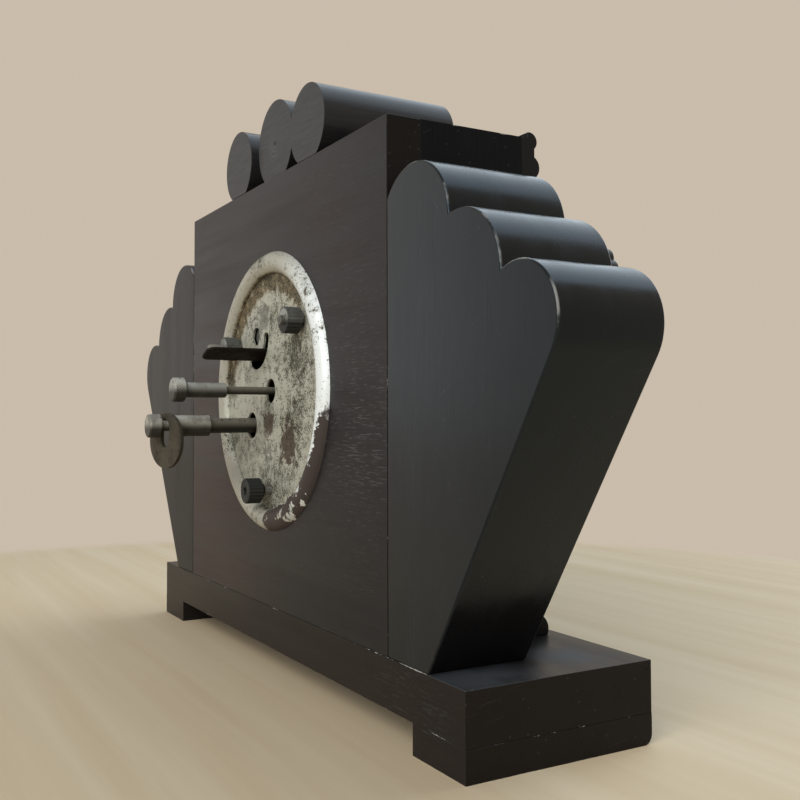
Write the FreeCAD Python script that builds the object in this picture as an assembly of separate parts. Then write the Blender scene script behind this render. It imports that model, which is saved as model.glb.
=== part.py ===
import FreeCAD, Part
import math
import os

# A mantel clock in a stepped wooden case, with its wound movement.
# Sizes are in millimetres. X runs to the right seen from the front, Y to the back, Z up.
# Depths run forwards from the back of the case, so the pieces behind it have depths below zero.

# Base and feet
base_length = 262.0
base_depth = 64.0
base_board_thickness = 15.0
foot_height = 9.0
foot_length = 26.5
foot_corner_radius = 3.0

# Case block
block_width = 181.0
block_height = 160.0
case_wall = 12.0
back_board_thickness = 12.0
front_board_thickness = 5.0
opening_radius = 45.0

# Mouldings across the front board
top_bead_radius = 3.0
top_bead_drop = 1.0
low_bead_radius = 4.0
low_bead_drop = 9.4
bead_inset = 2.0
foot_bead_radius = 5.0
foot_bead_rise = 2.0
foot_bead_inset = 0.8

# Wings: each lobe has its distance out from the block, its height above the base and its radius
lobe_out = (15.0, 38.3, 63.6)
lobe_rise = (123.5, 106.0, 92.5)
lobe_radius = (18.5, 18.5, 15.0)
wing_foot_width = 22.3
rib_depth = (40.0, 36.5, 33.0)

# Rosette on the middle rib of each wing
rosette_shift = 3.6
rosette_lift = 1.6
rosette_radius = 10.3
rosette_scallop = 0.9
rosette_petals = 12
rosette_height = 6.5
rosette_boss_radius = 5.0
rosette_boss_height = 1.6

# Rods on the top
side_rod_radius = 14.2
side_rod_axis = 12.0
side_rod_spacing = 33.4
middle_rod_radius = 16.3
middle_rod_axis = 13.8
middle_rod_inset = 2.0
rod_end = 52.0
rod_clearance = 0.3
rod_mark_radius = 0.8

# Hidden joinery
wing_dowel_radius = 4.0
wing_dowel_length = 30.0
wing_dowel_grip = 10.0
wing_dowel_heights = (40.0, 100.0)
rod_dowel_radius = 3.0
rod_dowel_length = 16.0
rod_dowel_grip = 8.0
dowel_end_gap = 0.5
screw_radius = 2.0
screw_head_radius = 4.0
screw_head_height = 3.0
screw_grip = 9.0
screw_offset = 60.0
joinery_fit = 0.05

# Movement frame
back_plate_inset = 2.0
plate_thickness = 1.5
plate_gap = 24.0
plate_radius = 42.0
dial_standoff = 14.0
stud_circle = 37.0
stud_angles = (28.5, 140.0, 270.0)
stud_radius = 1.5
stud_end = 8.1
loose_stud_extra = 4.6
pillar_radius = 3.0
fixed_fit = 0.03
running_fit = 0.04

# Back cover, a pressed sheet with a rounded rim and a pan sunk into the opening
cover_radius = 52.0
cover_sheet = 0.8
cover_pan_depth = 0.4
cover_rim_height = 2.8
set_hole_radius = 4.6
winding_hole_radius = 5.1
bearing_hole_radius = 3.6
nut_radius = 4.7
nut_length = 5.6
nut_collar_radius = 2.6
nut_collar_length = 1.4
loose_nut_gap = 3.0
nut_notch = 0.35
nut_notches = 22

# Front
dial_plate_radius = 54.0
dial_plate_thickness = 1.2
dial_thickness = 0.5
dial_hole_radius = 3.7
spacer_ring_width = 2.4
spacer_ring_height = 3.0
glass_thickness = 1.5
bezel_width = 4.2
bezel_step = 1.5
bezel_front = 8.0
bezel_lip = 2.7
front_gap = 0.1
seat_gap = 0.3

# Gears
pressure_angle = math.radians(25.0)
tooth_addendum = 0.8
tooth_dedendum = 1.05
tooth_backlash = 0.07
great_teeth = 64
centre_pinion_teeth = 12
great_module = 0.6
centre_teeth = 60
third_pinion_teeth = 10
centre_module = 0.5
third_teeth = 60
escape_pinion_teeth = 10
third_module = 0.45
cannon_teeth = 12
minute_teeth = 36
minute_module = 0.5
minute_pinion_teeth = 12
hour_teeth = 48
hour_module = 0.4
wheel_thickness = 1.2
pinion_overlap = 0.6

# Where the arbors stand, as seen from the front
winding_angle = -34.6
minute_wheel_angle = 235.0
balance_x = 14.6
balance_rise = 21.4
lever_angle = 165.0
lever_length = 13.0
pallet_distance = 8.2

# Winding
arbor_radius = 2.85
arbor_front_pivot = 1.5
barrel_radius = 17.2
barrel_wall = 1.2
barrel_plate_gap = 2.0
great_wheel_thickness = 2.0
great_wheel_setback = 6.5
barrel_core_radius = 3.4
barrel_end_play = 0.2
mainspring_strip = 0.5
mainspring_pitch = 1.4
mainspring_half_turns = 14
mainspring_gap = 0.4
ratchet_radius = 7.6
ratchet_root_radius = 6.3
ratchet_teeth = 24
ratchet_thickness = 1.8
ratchet_plate_gap = 0.5
click_angle = -100.0
click_distance = 11.5
click_reach = 37.5
click_hub_radius = 2.2
click_arm_width = 2.0
click_screw_radius = 1.5
click_screw_head_radius = 2.6
click_screw_head_height = 1.3
click_spring_strip = 0.6
click_spring_length = 11.0
click_post_radius = 1.2
key_sleeve_radius = 3.95
key_start = 17.5
key_sleeve_length = 13.5
key_neck_radius = 2.0
key_neck_length = 4.9
key_head_radius = 4.35
key_head_length = 4.8
key_head_round = 0.7
key_socket = 8.0
ring_radius = 10.4
ring_thickness = 1.6
ring_drop = 5.5
ring_slot_width = 5.6
ring_slot_bottom = 8.1
ring_hang_gap = 0.3
ring_tilt = 16.0

# Hand setting
set_shaft_radius = 1.45
set_stem_start = 17.4
set_stem_radius = 2.7
set_stem_length = 15.2
set_knob_radius = 4.35
set_knob_length = 4.6
set_knob_notch = 0.35
set_knob_notches = 24
set_socket = 8.0
centre_arbor_radius = 2.0
centre_front_pivot = 1.7
cannon_seat_radius = 1.5
cannon_pipe_radius = 2.1
hour_pipe_radius = 3.1
minute_stud_radius = 1.0
minute_stud_head_radius = 1.8
minute_stud_head_height = 0.8
cannon_plate_gap = 1.5
motion_gap = 0.4

# Hands
hour_hand_length = 28.0
hour_hand_width = 5.0
minute_hand_length = 42.0
minute_hand_width = 4.0
hand_tail = 9.0
hand_hub_radius = 5.0
hand_thickness = 0.6
hand_dial_gap = 0.5
hand_gap = 0.9
hand_tip_reach = 0.3
hour_shown = 10
minute_shown = 10

# Train and escapement
train_arbor_radius = 0.9
train_pivot_radius = 0.5
shoulder_gap = 0.3
centre_wheel_setback = 3.0
hairspring_gap = 1.5
hairspring_width = 0.8
hairspring_strip = 0.25
hairspring_pitch = 0.8
hairspring_half_turns = 12
hairspring_collet_gap = 0.4
hairspring_stud_radius = 0.7
balance_radius = 10.8
balance_rim = 1.8
balance_thickness = 1.6
balance_spring_gap = 1.6
balance_spoke_width = 2.0
collet_radius = 1.3
staff_radius = 0.8
staff_pivot_radius = 0.4
roller_radius = 2.6
roller_thickness = 0.8
roller_gap = 1.0
impulse_pin_radius = 0.35
impulse_pin_circle = 2.0
impulse_pin_length = 0.8
lever_gap = 0.2
lever_thickness = 1.0
lever_hub_radius = 1.8
lever_half_width = 0.8
fork_half_width = 1.5
fork_notch_half_width = 0.6
fork_depth = 1.8
fork_gap = 1.4
pallet_pin_radius = 0.35
pallet_pin_circle = 6.9
pallet_pin_angle = 45.0
pallet_bar_half_width = 0.9
escape_radius = 6.0
escape_root_radius = 4.6
escape_teeth = 15
escape_thickness = 1.0
escape_gap = 0.6
escape_pinion_gap = 0.8
bearing_screw_radius = 2.0
bearing_screw_head_radius = 3.0
bearing_screw_head_height = 2.0
bearing_screw_cover_gap = 0.5
bearing_screw_reach = 0.8
bearing_cup_depth = 0.9
bearing_end_gap = 0.4

# Regulator
regulator_thickness = 1.2
regulator_hub_radius = 4.0
regulator_plate_gap = 1.8
regulator_head_gap = 1.0
regulator_arm_half_width = 2.5
regulator_arm_angle = 231.0
regulator_arm_length = 9.5
regulator_strip_angle = -20.0
regulator_strip_width = 10.0
regulator_strip_thickness = 1.0
regulator_reach = 22.4
regulator_tip_round = 3.0
slot_clearance = 0.3
slot_start_angle = 187.0
slot_end_angle = 296.0

# Sizes that follow from those above
key_reach = key_start + key_sleeve_length + key_neck_length + key_head_length
back_y = (base_depth - key_reach) / 2.0
base_top = foot_height + base_board_thickness
block_top = base_top + block_height
block_half = block_width / 2.0
centre_z = base_top + block_height / 2.0

back_plate_back = back_board_thickness + back_plate_inset
back_plate_front = back_plate_back + plate_thickness
front_plate_back = back_plate_front + plate_gap
front_plate_front = front_plate_back + plate_thickness
dial_seat = front_plate_front + dial_standoff
box_front = dial_seat - front_board_thickness

dial_back = dial_seat + dial_plate_thickness
dial_front = dial_back + dial_thickness
glass_back = dial_front + spacer_ring_height + front_gap
glass_front = glass_back + glass_thickness
hour_hand_back = dial_front + hand_dial_gap
minute_hand_back = hour_hand_back + hand_thickness + hand_gap

cannon_back = front_plate_front + cannon_plate_gap
minute_wheel_back = cannon_back + motion_gap
minute_wheel_front = minute_wheel_back + wheel_thickness
cannon_front = minute_wheel_front + pinion_overlap
hour_wheel_back = cannon_front + motion_gap
hour_wheel_front = hour_wheel_back + wheel_thickness

great_wheel_front = front_plate_back - great_wheel_setback
great_wheel_back = great_wheel_front - great_wheel_thickness
barrel_back = back_plate_front + barrel_plate_gap
centre_wheel_front = front_plate_back - centre_wheel_setback
centre_wheel_back = centre_wheel_front - wheel_thickness

hairspring_back = back_plate_front + hairspring_gap
hairspring_front = hairspring_back + hairspring_width
balance_back = hairspring_front + balance_spring_gap
balance_front = balance_back + balance_thickness
roller_back = balance_front + roller_gap
roller_front = roller_back + roller_thickness
lever_back = roller_front + impulse_pin_length + lever_gap
lever_front = lever_back + lever_thickness
escape_back = lever_front + escape_gap
escape_front = escape_back + escape_thickness
third_wheel_back = escape_front + escape_pinion_gap + pinion_overlap
third_wheel_front = third_wheel_back + wheel_thickness

strip_lean = math.radians(regulator_strip_angle - regulator_arm_angle + 270.0)
strip_distance = regulator_arm_length * math.cos(strip_lean)
strip_end = regulator_strip_width / 2.0 + abs(regulator_arm_length * math.sin(strip_lean))
slot_inner_radius = strip_distance - regulator_strip_thickness / 2.0 - slot_clearance
slot_outer_radius = math.hypot(strip_distance + regulator_strip_thickness / 2.0, strip_end) + slot_clearance

ratchet_front = back_plate_back - ratchet_plate_gap
ratchet_back = ratchet_front - ratchet_thickness
regulator_front = back_plate_back - regulator_plate_gap
regulator_back = regulator_front - regulator_thickness


def vector(x, y, z):
    return FreeCAD.Vector(x, y, z)


def at_depth(depth):
    """Y of a depth measured forwards from the back of the case."""
    return back_y - depth


def polar(place, radius, angle):
    """Point at a radius and an angle in degrees from a place, as (x, z)."""
    turn = math.radians(angle)
    return (place[0] + radius * math.cos(turn), place[1] + radius * math.sin(turn))


def direction(start, end):
    """Angle in degrees of the line from one place to another."""
    return math.degrees(math.atan2(end[1] - start[1], end[0] - start[0]))


def circles_meet(first, first_radius, second, second_radius):
    """Both points where two circles meet, the one to the left of the line between them first."""
    gap = math.dist(first, second)
    along = (first_radius ** 2 - second_radius ** 2 + gap ** 2) / (2.0 * gap)
    across = math.sqrt(first_radius ** 2 - along ** 2)
    line = direction(first, second)
    foot = polar(first, along, line)
    return polar(foot, across, line + 90.0), polar(foot, across, line - 90.0)


def rod(place, radius, back, front):
    """Cylinder along Y at a place between two depths."""
    start = vector(place[0], at_depth(front), place[1])
    return Part.makeCylinder(radius, front - back, start, vector(0, 1, 0))


def tube(place, radius, bore, back, front):
    return rod(place, radius, back, front).cut(rod(place, bore, back, front))


def upright(x, depth, radius, bottom, top):
    """Cylinder along Z between two heights."""
    return Part.makeCylinder(radius, top - bottom, vector(x, at_depth(depth), bottom), vector(0, 0, 1))


def block(left, right, back, front, bottom, top):
    corner = vector(left, at_depth(front), bottom)
    return Part.makeBox(right - left, front - back, top - bottom, corner)


def flat(place):
    return vector(place[0], 0.0, place[1])


def line(start, end):
    return Part.makeLine(flat(start), flat(end))


def arc(start, middle, end):
    return Part.Arc(flat(start), flat(middle), flat(end)).toShape()


def arc_round(place, radius, start_angle, end_angle):
    """Arc about a place between two angles in degrees."""
    middle = (start_angle + end_angle) / 2.0
    return arc(polar(place, radius, start_angle), polar(place, radius, middle), polar(place, radius, end_angle))


def slab(edges, back, front):
    """Solid between two depths from a closed outline in X and Z."""
    face = Part.Face(Part.Wire(edges))
    face.translate(vector(0.0, at_depth(front), 0.0))
    return face.extrude(vector(0.0, front - back, 0.0))


def polygon(points, back, front):
    corners = list(points)
    following = corners[1:] + corners[:1]
    return slab([line(start, end) for start, end in zip(corners, following)], back, front)


def bar(start, end, half_width, back, front):
    """Straight strip from one place to another."""
    heading = direction(start, end)
    corners = [polar(start, half_width, heading + 90.0), polar(start, half_width, heading - 90.0)]
    corners += [polar(end, half_width, heading - 90.0), polar(end, half_width, heading + 90.0)]
    return polygon(corners, back, front)


def turned(place, profile):
    """Solid of revolution about Y at a place from corners given as (radius, depth)."""
    corners = [vector(place[0] + radius, at_depth(depth), place[1]) for radius, depth in profile]
    face = Part.Face(Part.makePolygon(corners + corners[:1]))
    return face.revolve(vector(place[0], 0.0, place[1]), vector(0, 1, 0), 360)


def joined(shapes):
    whole = shapes[0].fuse(shapes[1:])
    return whole.removeSplitter()


def mirrored(shape):
    return shape.mirror(vector(0, 0, 0), vector(1, 0, 0))


def gear(teeth, module, place, tooth_angle, back, front):
    """Spur gear with a tooth centred on an angle in degrees; each flank is one arc near the involute."""
    pitch_radius = module * teeth / 2.0
    base_radius = pitch_radius * math.cos(pressure_angle)
    tip_radius = pitch_radius + tooth_addendum * module
    root_radius = pitch_radius - tooth_dedendum * module
    half_tooth = math.pi / (2.0 * teeth) - tooth_backlash / (2.0 * pitch_radius)
    start_roll = math.tan(pressure_angle) - pressure_angle

    def half_angle(radius):
        slope = math.acos(min(1.0, base_radius / radius))
        return math.degrees(half_tooth + start_roll - (math.tan(slope) - slope))

    pitch = 360.0 / teeth
    edges = []
    for tooth in range(teeth):
        centre = tooth_angle + tooth * pitch
        rising = [polar(place, r, centre - half_angle(r)) for r in (root_radius, pitch_radius, tip_radius)]
        falling = [polar(place, r, centre + half_angle(r)) for r in (tip_radius, pitch_radius, root_radius)]
        following = polar(place, root_radius, centre + pitch - half_angle(root_radius))
        edges += [arc(*rising), line(rising[2], falling[0]), arc(*falling), line(falling[2], following)]
    return slab(edges, back, front)


def wheel_and_pinion_angles(wheel_place, pinion_place, pinion_teeth):
    """Tooth angles that put a wheel's tooth in a pinion's gap on the line between them."""
    wheel_angle = direction(wheel_place, pinion_place)
    return wheel_angle, wheel_angle + 180.0 + 180.0 / pinion_teeth


def knurled(place, radius, notch, count, back, front):
    step = 180.0 / count
    radii = (radius, radius - notch)
    return polygon([polar(place, radii[i % 2], i * step) for i in range(2 * count)], back, front)


def spiral(place, inner_radius, strip, pitch, half_turns, back, front):
    """Flat spring from half circles, each wider than the one before it."""
    inner_edges = []
    outer_edges = []
    middle = place
    for turn in range(half_turns):
        radius = inner_radius + turn * pitch / 2.0
        start = turn * 180.0
        inner_edges.append(arc_round(middle, radius, start, start + 180.0))
        outer_edges.append(arc_round(middle, radius + strip, start, start + 180.0))
        last = (middle, radius, start + 180.0)
        middle = polar(middle, -pitch / 2.0, start + 180.0)
    first_end = line(polar(place, inner_radius, 0.0), polar(place, inner_radius + strip, 0.0))
    last_end = line(polar(*last), polar(last[0], last[1] + strip, last[2]))
    wire_edges = Part.sortEdges(inner_edges + outer_edges + [first_end, last_end])[0]
    return slab(wire_edges, back, front)


# Places of the arbors
centre = (0.0, centre_z)
winding = polar(centre, great_module * (great_teeth + centre_pinion_teeth) / 2.0, winding_angle)
minute_place = polar(centre, minute_module * (cannon_teeth + minute_teeth) / 2.0, minute_wheel_angle)
balance = (balance_x, centre_z + balance_rise)
pallet = polar(balance, lever_length, lever_angle)
escape = polar(pallet, pallet_distance, lever_angle)
centre_to_third = centre_module * (centre_teeth + third_pinion_teeth) / 2.0
third_to_escape = third_module * (third_teeth + escape_pinion_teeth) / 2.0
third = circles_meet(centre, centre_to_third, escape, third_to_escape)[0]
studs = [polar(centre, stud_circle, angle) for angle in stud_angles]
click_pivot = polar(winding, click_distance, click_angle)
spring_post = polar(polar(click_pivot, click_hub_radius + 2.0 * seat_gap, click_angle), 9.0, click_angle - 90.0)
hairspring_inner = collet_radius + hairspring_collet_gap
hairspring_outer = hairspring_inner + (hairspring_half_turns - 1) * hairspring_pitch / 2.0
hairspring_stud_radius_out = hairspring_outer + hairspring_strip + hairspring_stud_radius + hairspring_pitch
hairspring_stud_place = polar(balance, hairspring_stud_radius_out, 0.0)


def base_board():
    board = block(-base_length / 2.0, base_length / 2.0, 0.0, base_depth, foot_height, base_top)
    for x, depth in screw_places():
        board = board.cut(base_screw(x, depth, joinery_fit))
    return board


def foot_right():
    foot = block(base_length / 2.0 - foot_length, base_length / 2.0, 0.0, base_depth, 0.0, foot_height)
    front = at_depth(base_depth)
    edges = [e for e in foot.Edges if all(v.Z < 0.001 and abs(v.Y - front) < 0.001 for v in e.Vertexes)]
    return foot.makeFillet(foot_corner_radius, edges)


def back_board():
    board = block(-block_half, block_half, 0.0, back_board_thickness, base_top, block_top)
    return board.cut(rod(centre, opening_radius, 0.0, back_board_thickness))


def case_side_right():
    side = block(block_half - case_wall, block_half, back_board_thickness, box_front, base_top, block_top)
    for dowel in wing_dowels_right(joinery_fit):
        side = side.cut(dowel)
    return side


def case_top():
    inner = block_half - case_wall
    top = block(-inner, inner, back_board_thickness, box_front, block_top - case_wall, block_top)
    for dowel in rod_dowels(joinery_fit):
        top = top.cut(dowel)
    return top


def case_floor():
    inner = block_half - case_wall
    floor = block(-inner, inner, back_board_thickness, box_front, base_top, base_top + case_wall)
    for x, depth in screw_places():
        floor = floor.cut(base_screw(x, depth, joinery_fit))
    return floor


def bead(radius, depth, height):
    """Round moulding across the whole block."""
    start = vector(-block_half, at_depth(depth), height)
    return Part.makeCylinder(radius, block_width, start, vector(1, 0, 0))


def front_board():
    board = block(-block_half, block_half, box_front, dial_seat, base_top, block_top)
    beads = [bead(top_bead_radius, dial_seat - bead_inset, block_top - top_bead_drop)]
    beads.append(bead(low_bead_radius, dial_seat - bead_inset, block_top - low_bead_drop))
    beads.append(bead(foot_bead_radius, dial_seat - foot_bead_inset, base_top + foot_bead_rise))
    board = joined([board] + beads)
    wide = base_length
    board = board.cut(block(-wide, wide, 0.0, box_front, 0.0, 2.0 * block_top))
    board = board.cut(block(-wide, wide, 0.0, 2.0 * base_depth, 0.0, base_top))
    board = board.cut(block(-wide, wide, 0.0, rod_end + rod_clearance, block_top, 2.0 * block_top))
    return board.cut(rod(centre, opening_radius, box_front, dial_seat)).removeSplitter()


def lobe_centre(index):
    return (block_half + lobe_out[index], base_top + lobe_rise[index])


def wing_right():
    """Fan of three ribs, each a round lobe on a tapering foot."""
    places = [lobe_centre(i) for i in range(3)]
    drop = math.sqrt(lobe_radius[0] ** 2 - lobe_out[0] ** 2)
    seam_top = (block_half, places[0][1] + drop)
    notches = [circles_meet(places[i], lobe_radius[i], places[i + 1], lobe_radius[i + 1])[0] for i in range(2)]
    feet = [(block_half + wing_foot_width * i / 3.0, base_top) for i in range(4)]
    slant = math.dist(places[2], feet[3])
    lean = math.degrees(math.acos(lobe_radius[2] / slant))
    end = polar(places[2], lobe_radius[2], direction(places[2], feet[3]) + lean)
    tops = [seam_top] + notches + [end]
    ribs = []
    for i in range(3):
        start_angle = direction(places[i], tops[i])
        end_angle = direction(places[i], tops[i + 1])
        edges = [line(feet[i + 1], feet[i]), line(feet[i], tops[i])]
        edges += [arc_round(places[i], lobe_radius[i], start_angle, end_angle), line(tops[i + 1], feet[i + 1])]
        ribs.append(slab(edges, 0.0, rib_depth[i]))
    wing = joined(ribs)
    for dowel in wing_dowels_right(joinery_fit):
        wing = wing.cut(dowel)
    return wing


def rosette_right():
    """Scalloped button with a raised boss."""
    place = (lobe_centre(1)[0] + rosette_shift, lobe_centre(1)[1] + rosette_lift)
    back = rib_depth[1]
    front = back + rosette_height
    step = 360.0 / rosette_petals
    valley = rosette_radius - rosette_scallop
    edges = []
    for petal in range(rosette_petals):
        angle = petal * step
        crest = polar(place, rosette_radius, angle + step / 2.0)
        edges.append(arc(polar(place, valley, angle), crest, polar(place, valley, angle + step)))
    boss = turned(place, [(0.0, front), (rosette_boss_radius, front),
                          (rosette_boss_radius / 2.0, front + rosette_boss_height),
                          (0.0, front + rosette_boss_height)])
    return joined([slab(edges, back, front), boss])


def rod_on_top(x, radius, axis_height, back, dowels):
    """Turned rod with its flat on the top of the case."""
    place = (x, block_top + axis_height)
    whole = rod(place, radius, back, rod_end)
    whole = whole.cut(block(x - radius, x + radius, back, rod_end, base_top, block_top))
    for dowel in dowels:
        whole = whole.cut(dowel)
    return whole


def side_rod(x):
    return rod_on_top(x, side_rod_radius, side_rod_axis, 0.0, rod_dowels(joinery_fit))


def middle_rod():
    """Largest rod, with the mark of the lathe's centre in its back end."""
    back = middle_rod_inset
    whole = rod_on_top(0.0, middle_rod_radius, middle_rod_axis, back, rod_dowels(joinery_fit))
    place = (0.0, block_top + middle_rod_axis)
    return whole.cut(turned(place, [(0.0, back), (rod_mark_radius, back), (0.0, back + rod_mark_radius)]))


def wing_dowels_right(fit):
    """Dowels between a case side and its wing; the holes for them take the fit and an end gap."""
    end_gap = dowel_end_gap if fit else 0.0
    start = block_half - wing_dowel_grip - end_gap
    length = wing_dowel_length + 2.0 * end_gap
    depth = at_depth(back_board_thickness + wing_dowel_grip)
    dowels = []
    for height in wing_dowel_heights:
        place = vector(start, depth, base_top + height)
        dowels.append(Part.makeCylinder(wing_dowel_radius + fit, length, place, vector(1, 0, 0)))
    return dowels


def rod_dowels(fit):
    """Two dowels under each rod."""
    end_gap = dowel_end_gap if fit else 0.0
    bottom = block_top - rod_dowel_grip - end_gap
    top = block_top - rod_dowel_grip + rod_dowel_length + end_gap
    depths = (back_board_thickness + rod_dowel_grip, box_front - rod_dowel_grip)
    places = [(x, depth) for x in (-side_rod_spacing, 0.0, side_rod_spacing) for depth in depths]
    return [upright(x, depth, rod_dowel_radius + fit, bottom, top) for x, depth in places]


def screw_places():
    depths = (back_board_thickness + screw_grip, box_front - screw_grip)
    return [(x, depth) for x in (-screw_offset, screw_offset) for depth in depths]


def base_screw(x, depth, fit):
    """Countersunk wood screw through the base into the floor of the case."""
    end_gap = dowel_end_gap if fit else 0.0
    shank = upright(x, depth, screw_radius + fit, foot_height, base_top + screw_grip + end_gap)
    seat = vector(x, at_depth(depth), foot_height)
    head = Part.makeCone(screw_head_radius + fit, screw_radius + fit, screw_head_height, seat, vector(0, 0, 1))
    return joined([shank, head])


def base_screws():
    return Part.makeCompound([base_screw(x, depth, 0.0) for x, depth in screw_places()])


def movement_plate(back, holes):
    plate = rod(centre, plate_radius, back, back + plate_thickness)
    for place, radius in holes:
        plate = plate.cut(rod(place, radius, back, back + plate_thickness))
    return plate


def shared_holes():
    """Holes that both plates have: studs, balance bearing and train pivots."""
    holes = [(place, stud_radius + fixed_fit) for place in studs]
    holes.append((balance, bearing_screw_radius + fixed_fit))
    holes += [(place, train_pivot_radius + running_fit) for place in (third, escape, pallet)]
    return holes


def back_plate():
    holes = shared_holes()
    holes.append((centre, set_shaft_radius + running_fit))
    holes.append((winding, arbor_radius + running_fit))
    holes.append((click_pivot, click_screw_radius + fixed_fit))
    holes.append((spring_post, click_post_radius + fixed_fit))
    holes.append((hairspring_stud_place, hairspring_stud_radius + fixed_fit))
    return movement_plate(back_plate_back, holes)


def front_plate():
    holes = shared_holes()
    holes.append((centre, centre_front_pivot + running_fit))
    holes.append((winding, arbor_front_pivot + running_fit))
    holes.append((minute_place, minute_stud_radius + fixed_fit))
    return movement_plate(front_plate_back, holes)


def pillars(back, front):
    return Part.makeCompound([tube(place, pillar_radius, stud_radius + fixed_fit, back, front) for place in studs])


def cover_studs():
    """Long studs from the dial plate back through the cover; one sticks out further than the others."""
    extras = (loose_stud_extra, 0.0, 0.0)
    return Part.makeCompound([rod(p, stud_radius, -stud_end - extra, dial_back) for p, extra in zip(studs, extras)])


def thumb_nuts():
    """Nuts on the studs; the lowest one stands unscrewed from the cover."""
    nuts = []
    for place, gap in zip(studs, (0.0, 0.0, loose_nut_gap)):
        seat = cover_pan_depth - gap
        head_front = seat - nut_collar_length
        head_back = head_front - nut_length
        head = knurled(place, nut_radius, nut_notch, nut_notches, head_back, head_front)
        collar = rod(place, nut_collar_radius, head_front, seat)
        nuts.append(joined([head, collar]).cut(rod(place, stud_radius + fixed_fit, head_back, seat)))
    return Part.makeCompound(nuts)


def regulator_slot(back, front):
    """Curved slot for the regulator strip, round at both ends."""
    middle_radius = (slot_inner_radius + slot_outer_radius) / 2.0
    half_width = (slot_outer_radius - slot_inner_radius) / 2.0
    ends = [polar(balance, slot_outer_radius, angle) for angle in (slot_start_angle, slot_end_angle)]
    starts = [polar(balance, slot_inner_radius, angle) for angle in (slot_start_angle, slot_end_angle)]
    edges = [arc_round(balance, slot_outer_radius, slot_start_angle, slot_end_angle), line(ends[1], starts[1])]
    edges += [arc_round(balance, slot_inner_radius, slot_end_angle, slot_start_angle), line(starts[0], ends[0])]
    pieces = [slab(edges, back, front)]
    for angle in (slot_start_angle, slot_end_angle):
        pieces.append(rod(polar(balance, middle_radius, angle), half_width, back, front))
    return joined(pieces)


def cover_rim(inner_radius):
    """Bowed rim of the cover, standing on the back board."""
    middle_radius = (cover_radius + inner_radius) / 2.0
    bow = [(cover_radius, 0.0), (middle_radius, -cover_rim_height), (inner_radius, 0.0)]
    hollow = [(inner_radius + cover_sheet, 0.0), (middle_radius, cover_sheet - cover_rim_height)]
    hollow.append((cover_radius - cover_sheet, 0.0))
    bow, hollow = [[vector(centre[0] + r, at_depth(d), centre[1]) for r, d in arch] for arch in (bow, hollow)]
    edges = [Part.Arc(*bow).toShape(), Part.makeLine(bow[2], hollow[0])]
    edges += [Part.Arc(*hollow).toShape(), Part.makeLine(hollow[2], bow[0])]
    return Part.Face(Part.Wire(edges)).revolve(vector(centre[0], 0.0, centre[1]), vector(0, 1, 0), 360)


def back_cover():
    """Pressed cover: the bowed rim that bears on the back board and the pan inside the opening."""
    wall_radius = opening_radius - seat_gap
    rim = cover_rim(wall_radius - cover_sheet)
    pan_front = cover_pan_depth + cover_sheet
    wall = tube(centre, wall_radius, wall_radius - cover_sheet, 0.0, pan_front)
    cover = joined([rim, wall, rod(centre, wall_radius, cover_pan_depth, pan_front)])
    back, front = -2.0 * cover_radius, dial_seat
    cover = cover.cut(rod(centre, set_hole_radius, back, front))
    cover = cover.cut(rod(winding, winding_hole_radius, back, front))
    cover = cover.cut(rod(balance, bearing_hole_radius, back, front))
    for place in studs:
        cover = cover.cut(rod(place, stud_radius + seat_gap, back, front))
    return cover.cut(regulator_slot(back, front))


def dial_plate():
    plate = tube(centre, dial_plate_radius, dial_hole_radius, dial_seat, dial_back)
    for place in studs:
        plate = plate.cut(rod(place, stud_radius + fixed_fit, dial_seat, dial_back))
    return plate


def dial_face():
    return tube(centre, dial_plate_radius - seat_gap, dial_hole_radius, dial_back, dial_front)


def spacer_ring():
    outer = dial_plate_radius
    return tube(centre, outer, outer - spacer_ring_width, dial_front, dial_front + spacer_ring_height)


def glass():
    return rod(centre, dial_plate_radius, glass_back, glass_front)


def bezel():
    """Stepped ring with a lip that holds the glass."""
    inner = dial_plate_radius + seat_gap
    outer = inner + bezel_width
    front = dial_seat + bezel_front
    lip_back = glass_front + front_gap
    rise = bezel_front / 3.0
    profile = [(inner, dial_seat), (outer, dial_seat), (outer, dial_seat + rise)]
    profile += [(outer - bezel_step, dial_seat + rise), (outer - bezel_step, dial_seat + 2.0 * rise)]
    profile += [(outer - 2.0 * bezel_step, dial_seat + 2.0 * rise), (outer - 2.0 * bezel_step, front)]
    profile += [(inner - bezel_lip, front), (inner - bezel_lip, lip_back), (inner, lip_back)]
    return turned(centre, profile)


def hand(length, width, bore, clock_angle, back):
    """Tapered baton hand with a round hub."""
    angle = 90.0 - clock_angle
    side = width / 2.0
    outline = [polar(polar(centre, -hand_tail, angle), side / 2.0, angle + 90.0)]
    outline.append(polar(polar(centre, length * 0.8, angle), side, angle + 90.0))
    outline.append(polar(centre, length, angle))
    outline.append(polar(polar(centre, length * 0.8, angle), side, angle - 90.0))
    outline.append(polar(polar(centre, -hand_tail, angle), side / 2.0, angle - 90.0))
    front = back + hand_thickness
    whole = joined([polygon(outline, back, front), rod(centre, hand_hub_radius, back, front)])
    return whole.cut(rod(centre, bore, back, front))


def hour_hand():
    clock_angle = 30.0 * (hour_shown + minute_shown / 60.0)
    return hand(hour_hand_length, hour_hand_width, hour_pipe_radius + fixed_fit, clock_angle, hour_hand_back)


def minute_hand():
    clock_angle = 6.0 * minute_shown
    return hand(minute_hand_length, minute_hand_width, cannon_seat_radius + fixed_fit, clock_angle, minute_hand_back)


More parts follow.
